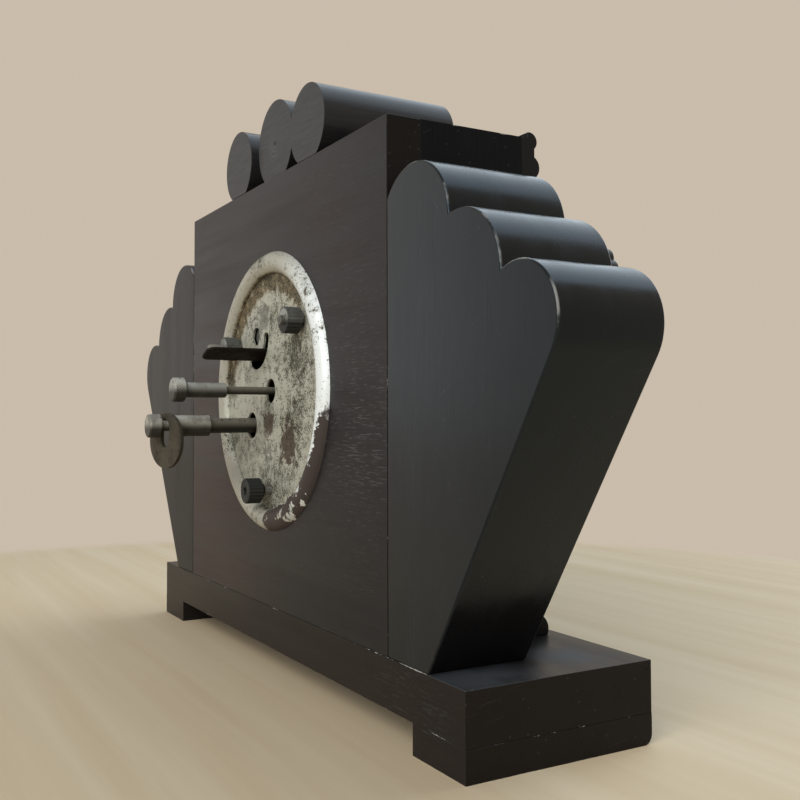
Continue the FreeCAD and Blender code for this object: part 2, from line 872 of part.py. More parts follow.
def centre_arbor():
    """Arbor that carries the hands and runs back to the setting knob."""
    rear = -set_stem_start - set_socket
    shoulder_back = back_plate_front + shoulder_gap
    shoulder_front = front_plate_back - shoulder_gap
    tip = minute_hand_back + hand_thickness + hand_tip_reach
    pieces = [rod(centre, set_shaft_radius, rear, shoulder_back)]
    pieces.append(rod(centre, centre_arbor_radius, shoulder_back, shoulder_front))
    pieces.append(rod(centre, centre_front_pivot, shoulder_front, front_plate_front + shoulder_gap))
    pieces.append(rod(centre, cannon_seat_radius, front_plate_front + shoulder_gap, tip))
    return joined(pieces)


def set_knob():
    """Stem that screws on to the arbor, with its knurled knob."""
    start = -set_stem_start
    stem_end = start - set_stem_length
    knob_end = stem_end - set_knob_length
    stem = rod(centre, set_stem_radius, stem_end, start)
    knob = knurled(centre, set_knob_radius, set_knob_notch, set_knob_notches, knob_end, stem_end)
    return joined([stem, knob]).cut(rod(centre, set_shaft_radius + fixed_fit, start - set_socket, start))


def cannon_pinion():
    angle = wheel_and_pinion_angles(minute_place, centre, cannon_teeth)[1]
    leaves = gear(cannon_teeth, minute_module, centre, angle, cannon_back, cannon_front)
    pipe = rod(centre, cannon_pipe_radius, cannon_back, minute_hand_back - front_gap)
    bore = rod(centre, cannon_seat_radius + fixed_fit, cannon_back, minute_hand_back)
    return joined([leaves, pipe]).cut(bore)


def minute_wheel():
    wheel_angle = wheel_and_pinion_angles(minute_place, centre, cannon_teeth)[0]
    pinion_angle = wheel_and_pinion_angles(centre, minute_place, minute_pinion_teeth)[1]
    end = hour_wheel_front + motion_gap
    wheel = gear(minute_teeth, minute_module, minute_place, wheel_angle, minute_wheel_back, minute_wheel_front)
    pinion = gear(minute_pinion_teeth, hour_module, minute_place, pinion_angle, minute_wheel_front, end)
    return joined([wheel, pinion]).cut(rod(minute_place, minute_stud_radius + running_fit, minute_wheel_back, end))


def minute_stud():
    end = hour_wheel_front + motion_gap + front_gap
    post = rod(minute_place, minute_stud_radius, front_plate_back, end)
    head = rod(minute_place, minute_stud_head_radius, end, end + minute_stud_head_height)
    return joined([post, head])


def hour_wheel():
    angle = wheel_and_pinion_angles(centre, minute_place, minute_pinion_teeth)[0]
    end = hour_hand_back + hand_thickness
    wheel = gear(hour_teeth, hour_module, centre, angle, hour_wheel_back, hour_wheel_front)
    pipe = rod(centre, hour_pipe_radius, hour_wheel_back, end)
    return joined([wheel, pipe]).cut(rod(centre, cannon_pipe_radius + running_fit, hour_wheel_back, end))


def centre_wheel():
    """Wheel and pinion that slip on the centre arbor when the hands are set."""
    wheel_angle = wheel_and_pinion_angles(centre, third, third_pinion_teeth)[0]
    pinion_angle = wheel_and_pinion_angles(winding, centre, centre_pinion_teeth)[1]
    back = great_wheel_back - pinion_overlap
    wheel = gear(centre_teeth, centre_module, centre, wheel_angle, centre_wheel_back, centre_wheel_front)
    pinion = gear(centre_pinion_teeth, great_module, centre, pinion_angle, back, centre_wheel_back)
    return joined([wheel, pinion]).cut(rod(centre, centre_arbor_radius + running_fit, back, centre_wheel_front))


def train_arbor(place):
    """Thin arbor between the plates with a pivot at each end."""
    shoulders = (back_plate_front + shoulder_gap, front_plate_back - shoulder_gap)
    pivot = rod(place, train_pivot_radius, back_plate_back, front_plate_front)
    return joined([rod(place, train_arbor_radius, shoulders[0], shoulders[1]), pivot])


def third_wheel():
    wheel_angle = wheel_and_pinion_angles(third, escape, escape_pinion_teeth)[0]
    pinion_angle = wheel_and_pinion_angles(centre, third, third_pinion_teeth)[1]
    pinion_back = centre_wheel_back - pinion_overlap
    pinion_front = centre_wheel_front + pinion_overlap
    wheel = gear(third_teeth, third_module, third, wheel_angle, third_wheel_back, third_wheel_front)
    pinion = gear(third_pinion_teeth, centre_module, third, pinion_angle, pinion_back, pinion_front)
    return joined([train_arbor(third), wheel, pinion])


def escape_wheel():
    """Pointed teeth that lean forwards, on an arbor with its pinion."""
    pitch = 360.0 / escape_teeth
    outline = []
    for tooth in range(escape_teeth):
        angle = tooth * pitch
        outline.append(polar(escape, escape_radius, angle))
        outline.append(polar(escape, escape_root_radius, angle + 0.25 * pitch))
        outline.append(polar(escape, escape_root_radius, angle + 0.75 * pitch))
    wheel = polygon(outline, escape_back, escape_front)
    pinion_angle = wheel_and_pinion_angles(third, escape, escape_pinion_teeth)[1]
    pinion_back = third_wheel_back - pinion_overlap
    pinion_front = third_wheel_front + pinion_overlap
    pinion = gear(escape_pinion_teeth, third_module, escape, pinion_angle, pinion_back, pinion_front)
    return joined([train_arbor(escape), wheel, pinion])


def pallet_lever():
    """Lever with a fork towards the balance and two pins that stand beside the escape wheel."""
    fork_angle = lever_angle + 180.0
    tip = lever_length - fork_gap
    pins = [polar(escape, pallet_pin_circle, fork_angle + sign * pallet_pin_angle) for sign in (-1.0, 1.0)]
    arm_end = polar(pallet, tip - fork_depth, fork_angle)
    fork_start = polar(pallet, tip - 2.0 * fork_depth, fork_angle)
    fork_end = polar(pallet, tip, fork_angle)
    fork = bar(fork_start, fork_end, fork_half_width, lever_back, lever_front)
    fork = fork.cut(bar(arm_end, polar(pallet, lever_length, fork_angle), fork_notch_half_width, lever_back, lever_front))
    pieces = [train_arbor(pallet), rod(pallet, lever_hub_radius, lever_back, lever_front), fork]
    pieces.append(bar(pallet, arm_end, lever_half_width, lever_back, lever_front))
    for pin in pins:
        pieces.append(bar(pallet, pin, pallet_bar_half_width, lever_back, lever_front))
        pieces.append(rod(pin, pallet_bar_half_width, lever_back, lever_front))
        pieces.append(rod(pin, pallet_pin_radius, lever_back, escape_front))
    return joined(pieces)


def balance_wheel():
    """Rim with two arms, staff, collet and roller with its impulse pin."""
    staff_back = back_plate_front + bearing_screw_reach + bearing_end_gap
    staff_front = front_plate_back - bearing_screw_reach - bearing_end_gap
    pivot_reach = bearing_end_gap + bearing_cup_depth / 2.0
    inner = balance_radius - balance_rim
    arm_end = balance_radius - balance_rim / 2.0
    arms = bar(polar(balance, arm_end, 90.0), polar(balance, arm_end, -90.0), balance_spoke_width / 2.0,
               balance_back, balance_front)
    pin_place = polar(balance, impulse_pin_circle, lever_angle)
    pieces = [tube(balance, balance_radius, inner, balance_back, balance_front), arms]
    pieces.append(rod(balance, staff_radius, staff_back, staff_front))
    pieces.append(rod(balance, staff_pivot_radius, staff_back - pivot_reach, staff_front + pivot_reach))
    pieces.append(rod(balance, collet_radius, hairspring_back, balance_back))
    pieces.append(rod(balance, roller_radius, roller_back, roller_front))
    pieces.append(rod(pin_place, impulse_pin_radius, roller_back, roller_front + impulse_pin_length))
    return joined(pieces)


def hairspring():
    return spiral(balance, hairspring_inner, hairspring_strip, hairspring_pitch, hairspring_half_turns,
                  hairspring_back, hairspring_front)


def hairspring_stud():
    return rod(hairspring_stud_place, hairspring_stud_radius, back_plate_back, hairspring_front)


def bearing_screws():
    """Two screws with cups for the balance pivots; the back one carries the regulator and reaches to the cover."""
    end = back_plate_front + bearing_screw_reach
    head_front = regulator_back - regulator_head_gap
    head_back = cover_pan_depth + cover_sheet + bearing_screw_cover_gap
    back = joined([rod(balance, bearing_screw_radius, head_front, end),
                   rod(balance, bearing_screw_head_radius, head_back, head_front)])
    cup_radius = staff_pivot_radius + running_fit
    back = back.cut(rod(balance, cup_radius, end - bearing_cup_depth, end))
    start = front_plate_back - bearing_screw_reach
    front = joined([rod(balance, bearing_screw_radius, start, front_plate_front),
                    rod(balance, bearing_screw_head_radius, front_plate_front,
                        front_plate_front + bearing_screw_head_height)])
    front = front.cut(rod(balance, cup_radius, start, start + bearing_cup_depth))
    return Part.makeCompound([back, front])


def regulator():
    """Arm that turns on the back bearing screw, with a strip bent back through the cover."""
    strip_middle = polar(balance, regulator_arm_length, regulator_arm_angle)
    half = regulator_strip_width / 2.0
    strip_ends = [polar(strip_middle, sign * half, regulator_strip_angle) for sign in (-1.0, 1.0)]
    strip = bar(strip_ends[0], strip_ends[1], regulator_strip_thickness / 2.0, -regulator_reach, regulator_front)
    tip = at_depth(-regulator_reach)
    corners = []
    for edge in strip.Edges:
        at_tip = all(abs(v.Y - tip) < 0.001 for v in edge.Vertexes)
        if at_tip and edge.Length < 2.0 * regulator_strip_thickness:
            corners.append(edge)
    strip = strip.makeFillet(regulator_tip_round, corners)
    arm = bar(balance, strip_middle, regulator_arm_half_width, regulator_back, regulator_front)
    hub = rod(balance, regulator_hub_radius, regulator_back, regulator_front)
    bore = rod(balance, bearing_screw_radius + running_fit, regulator_back, regulator_front)
    return joined([hub, arm, strip]).cut(bore)


def barrel():
    """Drum closed at the front by its toothed wheel."""
    angle = wheel_and_pinion_angles(winding, centre, centre_pinion_teeth)[0]
    teeth = gear(great_teeth, great_module, winding, angle, great_wheel_back, great_wheel_front)
    wall = tube(winding, barrel_radius, barrel_radius - barrel_wall, barrel_back, great_wheel_back)
    return joined([teeth, wall]).cut(rod(winding, arbor_radius + running_fit, great_wheel_back, great_wheel_front))


def barrel_cap():
    radius = barrel_radius - barrel_wall - fixed_fit
    return tube(winding, radius, arbor_radius + running_fit, barrel_back, barrel_back + barrel_wall)


def mainspring():
    back = barrel_back + barrel_wall + mainspring_gap
    front = great_wheel_back - mainspring_gap
    inner = barrel_core_radius + mainspring_gap
    return spiral(winding, inner, mainspring_strip, mainspring_pitch, mainspring_half_turns, back, front)


def winding_arbor():
    """Arbor from the front plate through the barrel to the key."""
    rear = -key_start - key_socket
    core_back = barrel_back + barrel_wall + barrel_end_play
    core_front = great_wheel_back - barrel_end_play
    shoulder = great_wheel_front + barrel_end_play
    pieces = [rod(winding, arbor_radius, rear, shoulder)]
    pieces.append(rod(winding, barrel_core_radius, core_back, core_front))
    pieces.append(rod(winding, arbor_front_pivot, shoulder, front_plate_front))
    return joined(pieces)


def ratchet_wheel():
    pitch = 360.0 / ratchet_teeth
    outline = []
    for tooth in range(ratchet_teeth):
        angle = tooth * pitch
        outline.append(polar(winding, ratchet_radius, angle))
        outline.append(polar(winding, ratchet_root_radius, angle + 0.07 * pitch))
    wheel = polygon(outline, ratchet_back, ratchet_front)
    return wheel.cut(rod(winding, arbor_radius + fixed_fit, ratchet_back, ratchet_front))


def click_nose_angle():
    """Start of the tooth space nearest to the click's reach."""
    pitch = 360.0 / ratchet_teeth
    return pitch * round((click_angle + click_reach) / pitch)


def click():
    """Pawl whose nose lies in one tooth space of the ratchet."""
    pitch = 360.0 / ratchet_teeth
    start = click_nose_angle()
    outside = ratchet_radius + 1.8
    nose = [polar(winding, ratchet_root_radius + 0.2, start + 0.2 * pitch)]
    nose.append(polar(winding, ratchet_radius + 0.4, start + pitch))
    nose.append(polar(winding, outside, start + pitch))
    nose.append(polar(winding, outside, start + 0.15 * pitch))
    nose_middle = polar(winding, outside, start + 0.5 * pitch)
    pieces = [rod(click_pivot, click_hub_radius, ratchet_back, ratchet_front)]
    pieces.append(bar(click_pivot, nose_middle, click_arm_width / 2.0, ratchet_back, ratchet_front))
    pieces.append(polygon(nose, ratchet_back, ratchet_front))
    return joined(pieces).cut(rod(click_pivot, click_screw_radius + running_fit, ratchet_back, ratchet_front))


def click_screw():
    head_front = ratchet_back - front_gap
    shank = rod(click_pivot, click_screw_radius, head_front, back_plate_front)
    head = rod(click_pivot, click_screw_head_radius, head_front - click_screw_head_height, head_front)
    return joined([shank, head])


def click_spring():
    """Strip past the click's hub, held by a post in the back plate."""
    end = polar(spring_post, click_spring_length, click_angle + 90.0)
    strip = bar(spring_post, end, click_spring_strip / 2.0, ratchet_back, ratchet_front)
    return joined([strip, rod(spring_post, click_post_radius, ratchet_back, back_plate_front)])


def winding_key():
    """Sleeve that screws on to the arbor, neck for the ring and round head."""
    sleeve_end = key_start + key_sleeve_length
    neck_end = sleeve_end + key_neck_length
    head = rod(winding, key_head_radius, -key_reach, -neck_end)
    head = head.makeFillet(key_head_round, [edge for edge in head.Edges if len(edge.Vertexes) == 1])
    sleeve = rod(winding, key_sleeve_radius, -sleeve_end, -key_start)
    neck = rod(winding, key_neck_radius, -neck_end, -sleeve_end)
    socket = rod(winding, arbor_radius + fixed_fit, -key_start - key_socket, -key_start)
    return joined([head, neck, sleeve]).cut(socket)


def winding_ring():
    """Flat ring that hangs on the neck of the key by its slot."""
    neck_middle = key_start + key_sleeve_length + key_neck_length / 2.0
    back = -neck_middle - ring_thickness / 2.0
    front = -neck_middle + ring_thickness / 2.0
    slot_radius = ring_slot_width / 2.0
    slot_top = (winding[0], winding[1] + key_neck_radius + ring_hang_gap - slot_radius)
    slot_bottom = (winding[0], winding[1] - ring_slot_bottom + slot_radius)
    disc = rod((winding[0], winding[1] - ring_drop), ring_radius, back, front)
    slot = bar(slot_bottom, slot_top, slot_radius, back, front)
    for place in (slot_top, slot_bottom):
        disc = disc.cut(rod(place, slot_radius, back, front))
    disc = disc.cut(slot)
    disc.rotate(vector(winding[0], at_depth(-neck_middle), winding[1]), vector(0, 0, 1), ring_tilt)
    return disc


def nodes():
    """Every node of the clock by name."""
    wood_right = {"foot": foot_right(), "case_side": case_side_right(), "wing": wing_right(), "rosette": rosette_right()}
    made = {}
    for name, shape in wood_right.items():
        made[name + "_right"] = shape
        made[name + "_left"] = mirrored(shape)
    wing_dowels = wing_dowels_right(0.0)
    made["wing_dowels"] = Part.makeCompound(wing_dowels + [mirrored(dowel) for dowel in wing_dowels])
    made["rod_dowels"] = Part.makeCompound(rod_dowels(0.0))
    made["rod_left"] = side_rod(-side_rod_spacing)
    made["rod_middle"] = middle_rod()
    made["rod_right"] = side_rod(side_rod_spacing)
    made["plate_pillars"] = pillars(back_plate_front, front_plate_back)
    made["dial_pillars"] = pillars(front_plate_front, dial_seat)
    makers = [base_board, back_board, case_top, case_floor, front_board, base_screws, back_plate, front_plate]
    makers += [cover_studs, thumb_nuts, back_cover, dial_plate, dial_face, spacer_ring, glass, bezel]
    makers += [hour_hand, minute_hand, centre_arbor, set_knob, cannon_pinion, minute_wheel, minute_stud, hour_wheel]
    makers += [centre_wheel, third_wheel, escape_wheel, pallet_lever, balance_wheel, hairspring, hairspring_stud]
    makers += [bearing_screws, regulator, barrel, barrel_cap, mainspring, winding_arbor, ratchet_wheel]
    makers += [click, click_screw, click_spring, winding_key, winding_ring]
    for maker in makers:
        made[maker.__name__] = maker()
    return made


def main():
    os.makedirs("parts", exist_ok=True)
    for name, shape in nodes().items():
        shape.exportStep("parts/" + name + ".step")


main()
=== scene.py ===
"""Looks of a wound mantel clock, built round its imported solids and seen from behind."""
import logging
import math
from dataclasses import dataclass, replace
from enum import Enum

import bmesh
import bpy
from mathutils import Matrix, Vector


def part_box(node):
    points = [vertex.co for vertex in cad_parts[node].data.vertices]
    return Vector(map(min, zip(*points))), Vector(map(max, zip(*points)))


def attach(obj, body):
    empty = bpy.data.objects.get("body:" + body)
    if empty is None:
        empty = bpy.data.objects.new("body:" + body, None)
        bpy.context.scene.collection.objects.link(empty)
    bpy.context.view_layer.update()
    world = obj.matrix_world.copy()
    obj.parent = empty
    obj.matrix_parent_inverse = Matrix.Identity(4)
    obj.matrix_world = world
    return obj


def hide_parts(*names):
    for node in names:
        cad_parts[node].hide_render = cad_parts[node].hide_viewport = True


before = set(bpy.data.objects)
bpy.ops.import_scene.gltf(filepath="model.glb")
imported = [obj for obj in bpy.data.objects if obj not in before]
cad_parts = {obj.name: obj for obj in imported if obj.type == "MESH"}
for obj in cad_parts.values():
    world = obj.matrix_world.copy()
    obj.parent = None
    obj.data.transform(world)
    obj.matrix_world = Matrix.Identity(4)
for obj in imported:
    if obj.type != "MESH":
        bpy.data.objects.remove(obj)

log = logging.getLogger("clock")
MM = 0.001
Colour = tuple[float, float, float]
Triple = tuple[float, float, float]
Box = tuple[Vector, Vector]


def scaled(tone: Colour, share: float) -> Colour:
    """A colour made darker or paler by a share."""
    return tuple(share * part for part in tone)


class Value:
    """A shader value for expressions; each operator adds one Math node to its graph."""

    def __init__(self, graph: "Graph", socket: bpy.types.NodeSocket) -> None:
        """Keeps the graph and the socket that gives the value."""
        self.graph = graph
        self.socket = socket

    def __add__(self, other: "Value | float") -> "Value":
        """Sum of two values."""
        return self.graph.math("ADD", self, other)

    def __sub__(self, other: "Value | float") -> "Value":
        """This value less another."""
        return self.graph.math("SUBTRACT", self, other)

    def __rsub__(self, other: float) -> "Value":
        """A number less this value."""
        return self.graph.math("SUBTRACT", other, self)

    def __mul__(self, other: "Value | float") -> "Value":
        """Product of two values."""
        return self.graph.math("MULTIPLY", self, other)

    def __truediv__(self, other: "Value | float") -> "Value":
        """This value over another."""
        return self.graph.math("DIVIDE", self, other)

    def __abs__(self) -> "Value":
        """Size of the value without its sign."""
        return self.graph.math("ABSOLUTE", self)

    __radd__ = __add__
    __rmul__ = __mul__

    def least(self, other: "Value | float") -> "Value":
        """Smaller of two values."""
        return self.graph.math("MINIMUM", self, other)

    def most(self, other: "Value | float") -> "Value":
        """Larger of two values."""
        return self.graph.math("MAXIMUM", self, other)

    def above(self, edge: float, softness: float) -> "Value":
        """Mask that goes smoothly from 0 to 1 where the value passes an edge.

        Args:
            edge: value at the middle of the change.
            softness: width of the change.

        Returns:
            The mask, between 0 and 1.
        """
        inputs = {"Value": self, "From Min": edge - softness / 2, "From Max": edge + softness / 2}
        return self.graph.value("ShaderNodeMapRange", {"interpolation_type": "SMOOTHSTEP"}, inputs)

    def below(self, edge: float, softness: float) -> "Value":
        """Mask that is 1 where the value lies under an edge."""
        return 1 - self.above(edge, softness)


class Graph:
    """Tree of nodes, filled by expressions."""

    def __init__(self, tree: bpy.types.NodeTree) -> None:
        """Keeps the tree that takes the nodes."""
        self.tree = tree

    def node(self, kind: str, settings: dict | None = None, inputs: dict | None = None) -> bpy.types.Node:
        """Adds one node.

        Args:
            kind: type of the node.
            settings: attributes of the node, set first.
            inputs: numbers, colours or links by socket name or place.

        Returns:
            The new node.
        """
        made = self.tree.nodes.new(kind)
        for name, setting in (settings or {}).items():
            setattr(made, name, setting)
        for key, given in (inputs or {}).items():
            self.feed(made.inputs[key], given)
        return made

    def feed(self, socket: bpy.types.NodeSocket, given: object) -> None:
        """Links a value or an output to a socket, or sets a constant on it."""
        if isinstance(given, Value):
            given = given.socket
        if isinstance(given, bpy.types.NodeSocket):
            self.tree.links.new(given, socket)
        elif socket.type == "RGBA":
            socket.default_value = (*given, 1.0)
        else:
            socket.default_value = given

    def value(self, kind: str, settings: dict, inputs: dict, output: int = 0) -> Value:
        """Adds one node and returns one of its outputs as a value."""
        return Value(self, self.node(kind, settings, inputs).outputs[output])

    def math(self, operation: str, first: Value | float, second: Value | float = 0.0) -> Value:
        """Adds one Math node on one or two values."""
        return self.value("ShaderNodeMath", {"operation": operation}, {0: first, 1: second})

    def place(self) -> bpy.types.NodeSocket:
        """Object coordinates, in metres."""
        return self.node("ShaderNodeTexCoord").outputs["Object"]

    def axes(self, vector: bpy.types.NodeSocket) -> tuple[Value, Value, Value]:
        """Parts of a vector along X, Y and Z."""
        outputs = self.node("ShaderNodeSeparateXYZ", {}, {0: vector}).outputs
        return Value(self, outputs[0]), Value(self, outputs[1]), Value(self, outputs[2])

    def mapped(self, cell: Triple, turn: Triple = (0, 0, 0)) -> bpy.types.NodeSocket:
        """Object coordinates, turned and then counted in cells of a size in metres."""
        inputs = {"Vector": self.place(), "Scale": cell, "Rotation": turn}
        return self.node("ShaderNodeMapping", {"vector_type": "TEXTURE"}, inputs).outputs[0]

    def noise(
        self, vector: bpy.types.NodeSocket, scale: float, detail: float = 2.0, rough: float = 0.5
    ) -> Value:
        """Noise of a scale, between 0 and 1."""
        inputs = {"Vector": vector, "Scale": scale, "Detail": detail, "Roughness": rough}
        return self.value("ShaderNodeTexNoise", {}, inputs)

    def cells(self, vector: bpy.types.NodeSocket, scale: float) -> tuple[Value, Value]:
        """Distance to the nearest of scattered points and a random number for each point."""
        made = self.node("ShaderNodeTexVoronoi", {}, {"Vector": vector, "Scale": scale})
        chance = self.axes(made.outputs[1])[0]
        return Value(self, made.outputs[0]), chance

    def mix(self, share: Value, under: object, over: object) -> bpy.types.NodeSocket:
        """Colour that goes from one to another by a share."""
        made = self.node("ShaderNodeMix", {"data_type": "RGBA"}, {0: share, 6: under, 7: over})
        return made.outputs[2]

    def bump(self, height: Value, depth: float, strength: float = 1.0) -> bpy.types.NodeSocket:
        """Normal of a surface with a height of up to a depth in metres."""
        inputs = {"Height": height, "Distance": depth, "Strength": strength}
        return self.node("ShaderNodeBump", {}, inputs).outputs[0]

    def seen(self) -> Value:
        """Mask that is 1 for what the camera sees, straight or in a mirror or glass."""
        rays = self.node("ShaderNodeLightPath").outputs
        names = ("Is Camera Ray", "Is Glossy Ray", "Is Transmission Ray")
        camera, mirror, glass = (Value(self, rays[name]) for name in names)
        return camera.most(mirror).most(glass)


class Shader(Graph):
    """Graph of one material with a Principled surface."""

    def __init__(self, name: str) -> None:
        """Starts the material."""
        self.material = bpy.data.materials.new(name)
        self.material.use_nodes = True
        super().__init__(self.material.node_tree)
        self.tree.nodes.clear()
        self.surface = self.node("ShaderNodeBsdfPrincipled")
        self.output = self.node("ShaderNodeOutputMaterial", {}, {"Surface": self.surface.outputs[0]})

    def finish(self, **inputs: object) -> bpy.types.Material:
        """Feeds the surface's sockets, given by name with _ for a space."""
        for name, given in inputs.items():
            self.feed(self.surface.inputs[name.replace("_", " ")], given)
        return self.material


class Grain(Enum):
    """Direction in which the grain of a piece of wood runs."""

    ALONG_X = 0
    ALONG_Y = 1
    ALONG_Z = 2

    def cell(self, along: float, across: float) -> Triple:
        """Size of a pattern's cell along and across the grain, in metres."""
        return tuple(along if axis == self.value else across for axis in range(3))


@dataclass(frozen=True)
class Spot:
    """Round patch of a surface."""

    middle: Triple
    reach: float

    def moved(self, by: Vector) -> "Spot":
        """The same patch, moved."""
        return Spot(tuple(Vector(self.middle) + by), self.reach)

    def mask(self, shader: Graph) -> Value:
        """Mask that is 1 in the middle and fades out at the reach."""
        inputs = {0: shader.place(), 1: self.middle}
        far = shader.node("ShaderNodeVectorMath", {"operation": "DISTANCE"}, inputs)
        return Value(shader, far.outputs["Value"]).below(0.55 * self.reach, 0.9 * self.reach)


def patches(shader: Graph, spots: tuple[Spot, ...]) -> Value | float:
    """Mask of a group of spots, or 0 where there are none."""
    mask = 0.0
    for spot in spots:
        mask = spot.mask(shader).most(mask)
    return mask


@dataclass(frozen=True)
class Ebonised:
    """Black stained and varnished wood with fine grain, pale dashes, dust with a painted sheen, worn edges
    with painted highlight glints, and painted shade on its end and side faces.
    """

    name: str
    grain: Grain
    stain: Colour = (0.011, 0.0112, 0.0125)
    thin: Colour = (0.03, 0.019, 0.015)
    thin_share: float = 0.4
    dash: Colour = (0.125, 0.122, 0.12)
    dash_share: float = 0.3
    fibre_cell: tuple[float, float] = (22 * MM, 0.4 * MM)
    streak_cell: tuple[float, float] = (110 * MM, 7 * MM)
    dash_cell: tuple[float, float] = (5 * MM, 0.32 * MM)
    bare: Colour = (0.42, 0.4, 0.37)
    # Colour of the pale film on the tops: dust, and a painted sheen
    dust: Colour = (0.07, 0.078, 0.088)
    # Colour of the painted shade on the ends of the grain and on all faces but the back
    deep: Colour = (0.005, 0.0038, 0.003)
    deep_ends: float = 0.0
    deep_sides: float = 0.0
    wear: float = 0.45 * MM
    glint: float = 0.0
    roughness: float = 0.34
    gloss: float = 0.28
    sheen: Colour = (1.0, 1.0, 1.0)
    marks: float = 0.1
    flushed: tuple[Spot, ...] = ()
    scuffed: tuple[Spot, ...] = ()
    dusty: tuple[Spot, ...] = ()

    def edge_distance(self, shader: Shader, box: Box) -> Value:
        """Distance on a box's surface to its nearest edge.

        Args:
            shader: shader that takes the nodes.
            box: lowest and highest corner.

        Returns:
            The middle one of the distances to the box's planes, in metres.
        """
        gaps = []
        for axis, place in enumerate(shader.axes(shader.place())):
            gaps.append((place - box[0][axis]).least(box[1][axis] - place))
        lower = gaps[0].least(gaps[1])
        upper = gaps[0].most(gaps[1])
        return lower.most(upper.least(gaps[2]))

    def worn_edges(self, shader: Shader, box: Box, scuffs: Value | float) -> Value | float:
        """Mask of the chips on a box's edges and of the painted highlight glints on its rounded back edge.

        Args:
            shader: shader that takes the nodes.
            box: lowest and highest corner.
            scuffs: mask of the places with more wear.

        Returns:
            The mask, or 0 where there are neither chips nor glints.
        """
        worn = 0.0
        if self.wear:
            chips = shader.noise(shader.place(), 90.0, 5.0, 0.7) - 0.58 + 0.09 * scuffs
            worn = (chips * 9 * self.wear - self.edge_distance(shader, box)).above(0.0, 0.4 * self.wear)
        # Painted highlight, partly wear: pale broken glints along the rounded back edge of the upper part
        if self.glint:
            _, y, z = shader.axes(shader.place())
            depth = box[1].y - y
            band = depth.above(0.06 * MM, 0.06 * MM) * depth.below(0.6 * MM, 0.3 * MM)
            band = band * z.above(0.45 * box[0].z + 0.55 * box[1].z, 10 * MM)
            worn = band * shader.noise(shader.place(), 75.0, 4.0, 0.6).above(0.55, 0.14) * self.glint
        return worn

    def deep_faces(self, shader: Shader, box: Box) -> Value:
        """Mask of the painted shade on the ends of the grain and on all faces but the back.

        Args:
            shader: shader that takes the nodes.
            box: lowest and highest corner.

        Returns:
            The mask of the ends of the grain and of all but the back.
        """
        places = shader.axes(shader.place())
        along = self.grain.value
        middle = (box[0] + box[1]) / 2
        half = box[1][along] - middle[along]
        ends = abs(places[along] - middle[along]).above(half - 0.3 * MM, 0.2 * MM)
        sides = (box[1].y - places[1]).above(0.8 * MM, 0.5 * MM)
        return (ends * self.deep_ends).most(sides * self.deep_sides)

    def scratches(self, shader: Shader) -> Value:
        """Mask of a few short fine scratches in two directions."""
        marks = 0.0
        for turn in ((0.0, 0.5, 0.3), (0.0, -0.9, -0.4)):
            lines = shader.noise(shader.mapped((14 * MM, 14 * MM, 0.4 * MM), turn), 1.0, 0.0)
            marks = lines.above(0.85, 0.04).most(marks)
        return marks

    def specks(self, shader: Shader) -> Value:
        """Mask of a few small specks of dust."""
        distance, chance = shader.cells(shader.place(), 420.0)
        return distance.below(0.12, 0.1) * chance.above(0.95, 0.02)

    def material(self, node: str) -> bpy.types.Material:
        """Builds the material for one CAD node."""
        shader = Shader(f"{self.name}_{node}")
        place = shader.place()
        fibres = shader.noise(shader.mapped(self.grain.cell(*self.fibre_cell)), 1.0, 3.0, 0.6)
        streaks = shader.noise(shader.mapped(self.grain.cell(*self.streak_cell)), 1.0, 3.0)
        clouds = shader.noise(place, 13.0, 4.0)
        scuffs = patches(shader, self.scuffed)
        dashes = shader.noise(shader.mapped(self.grain.cell(*self.dash_cell)), 1.0, 1.0)
        dashes = (dashes + 0.06 * self.dash_share + 0.05 * scuffs).above(0.7, 0.08)
        dashes = dashes * clouds.above(0.47, 0.2).most(scuffs) * (1 + scuffs) * self.dash_share
        marks = self.marks * (self.scratches(shader) + 2 * self.specks(shader))
        thin = clouds.above(0.5, 0.3) * streaks.above(0.45, 0.3) * self.thin_share
        thin = thin.most(patches(shader, self.flushed) * streaks.above(0.4, 0.5))
        # Colours, from the stain up to the bare edges
        colour = shader.mix(thin, self.stain, self.thin)
        colour = shader.mix(fibres.below(0.45, 0.2) * 0.6, colour, scaled(self.stain, 0.5))
        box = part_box(node)
        # Painted shade: the ends of the grain and all faces but the back are darkened
        colour = shader.mix(self.deep_faces(shader, box), colour, self.deep)
        colour = shader.mix(dashes + marks, colour, self.dash)
        # Pale film on the tops in a few spots: dust, and a painted sheen
        dust_sheen_film = patches(shader, self.dusty) * shader.axes(place)[2].above(box[1].z - 0.2 * MM, 0.2 * MM)
        dust_sheen_film = dust_sheen_film * shader.noise(place, 60.0, 5.0, 0.6).above(0.42, 0.3)
        colour = shader.mix(dust_sheen_film * 0.7, colour, self.dust)
        # Pale chips on worn edges, and painted highlight glints on the rounded back edge
        worn = self.worn_edges(shader, box, scuffs)
        colour = shader.mix(worn * 0.85, colour, self.bare)
        rough = self.roughness + 0.1 * (fibres - 0.5) + 0.3 * (streaks - 0.5) + 0.14 * (clouds - 0.5)
        rough = rough + 0.2 * dashes + 0.2 * dust_sheen_film + 0.3 * worn
        normal = shader.bump(fibres + 0.6 * dashes + 0.5 * marks, 0.05 * MM, 0.5)
        return shader.finish(Base_Color=colour, Roughness=rough, Normal=normal,
                             Specular_IOR_Level=self.gloss, Specular_Tint=self.sheen)


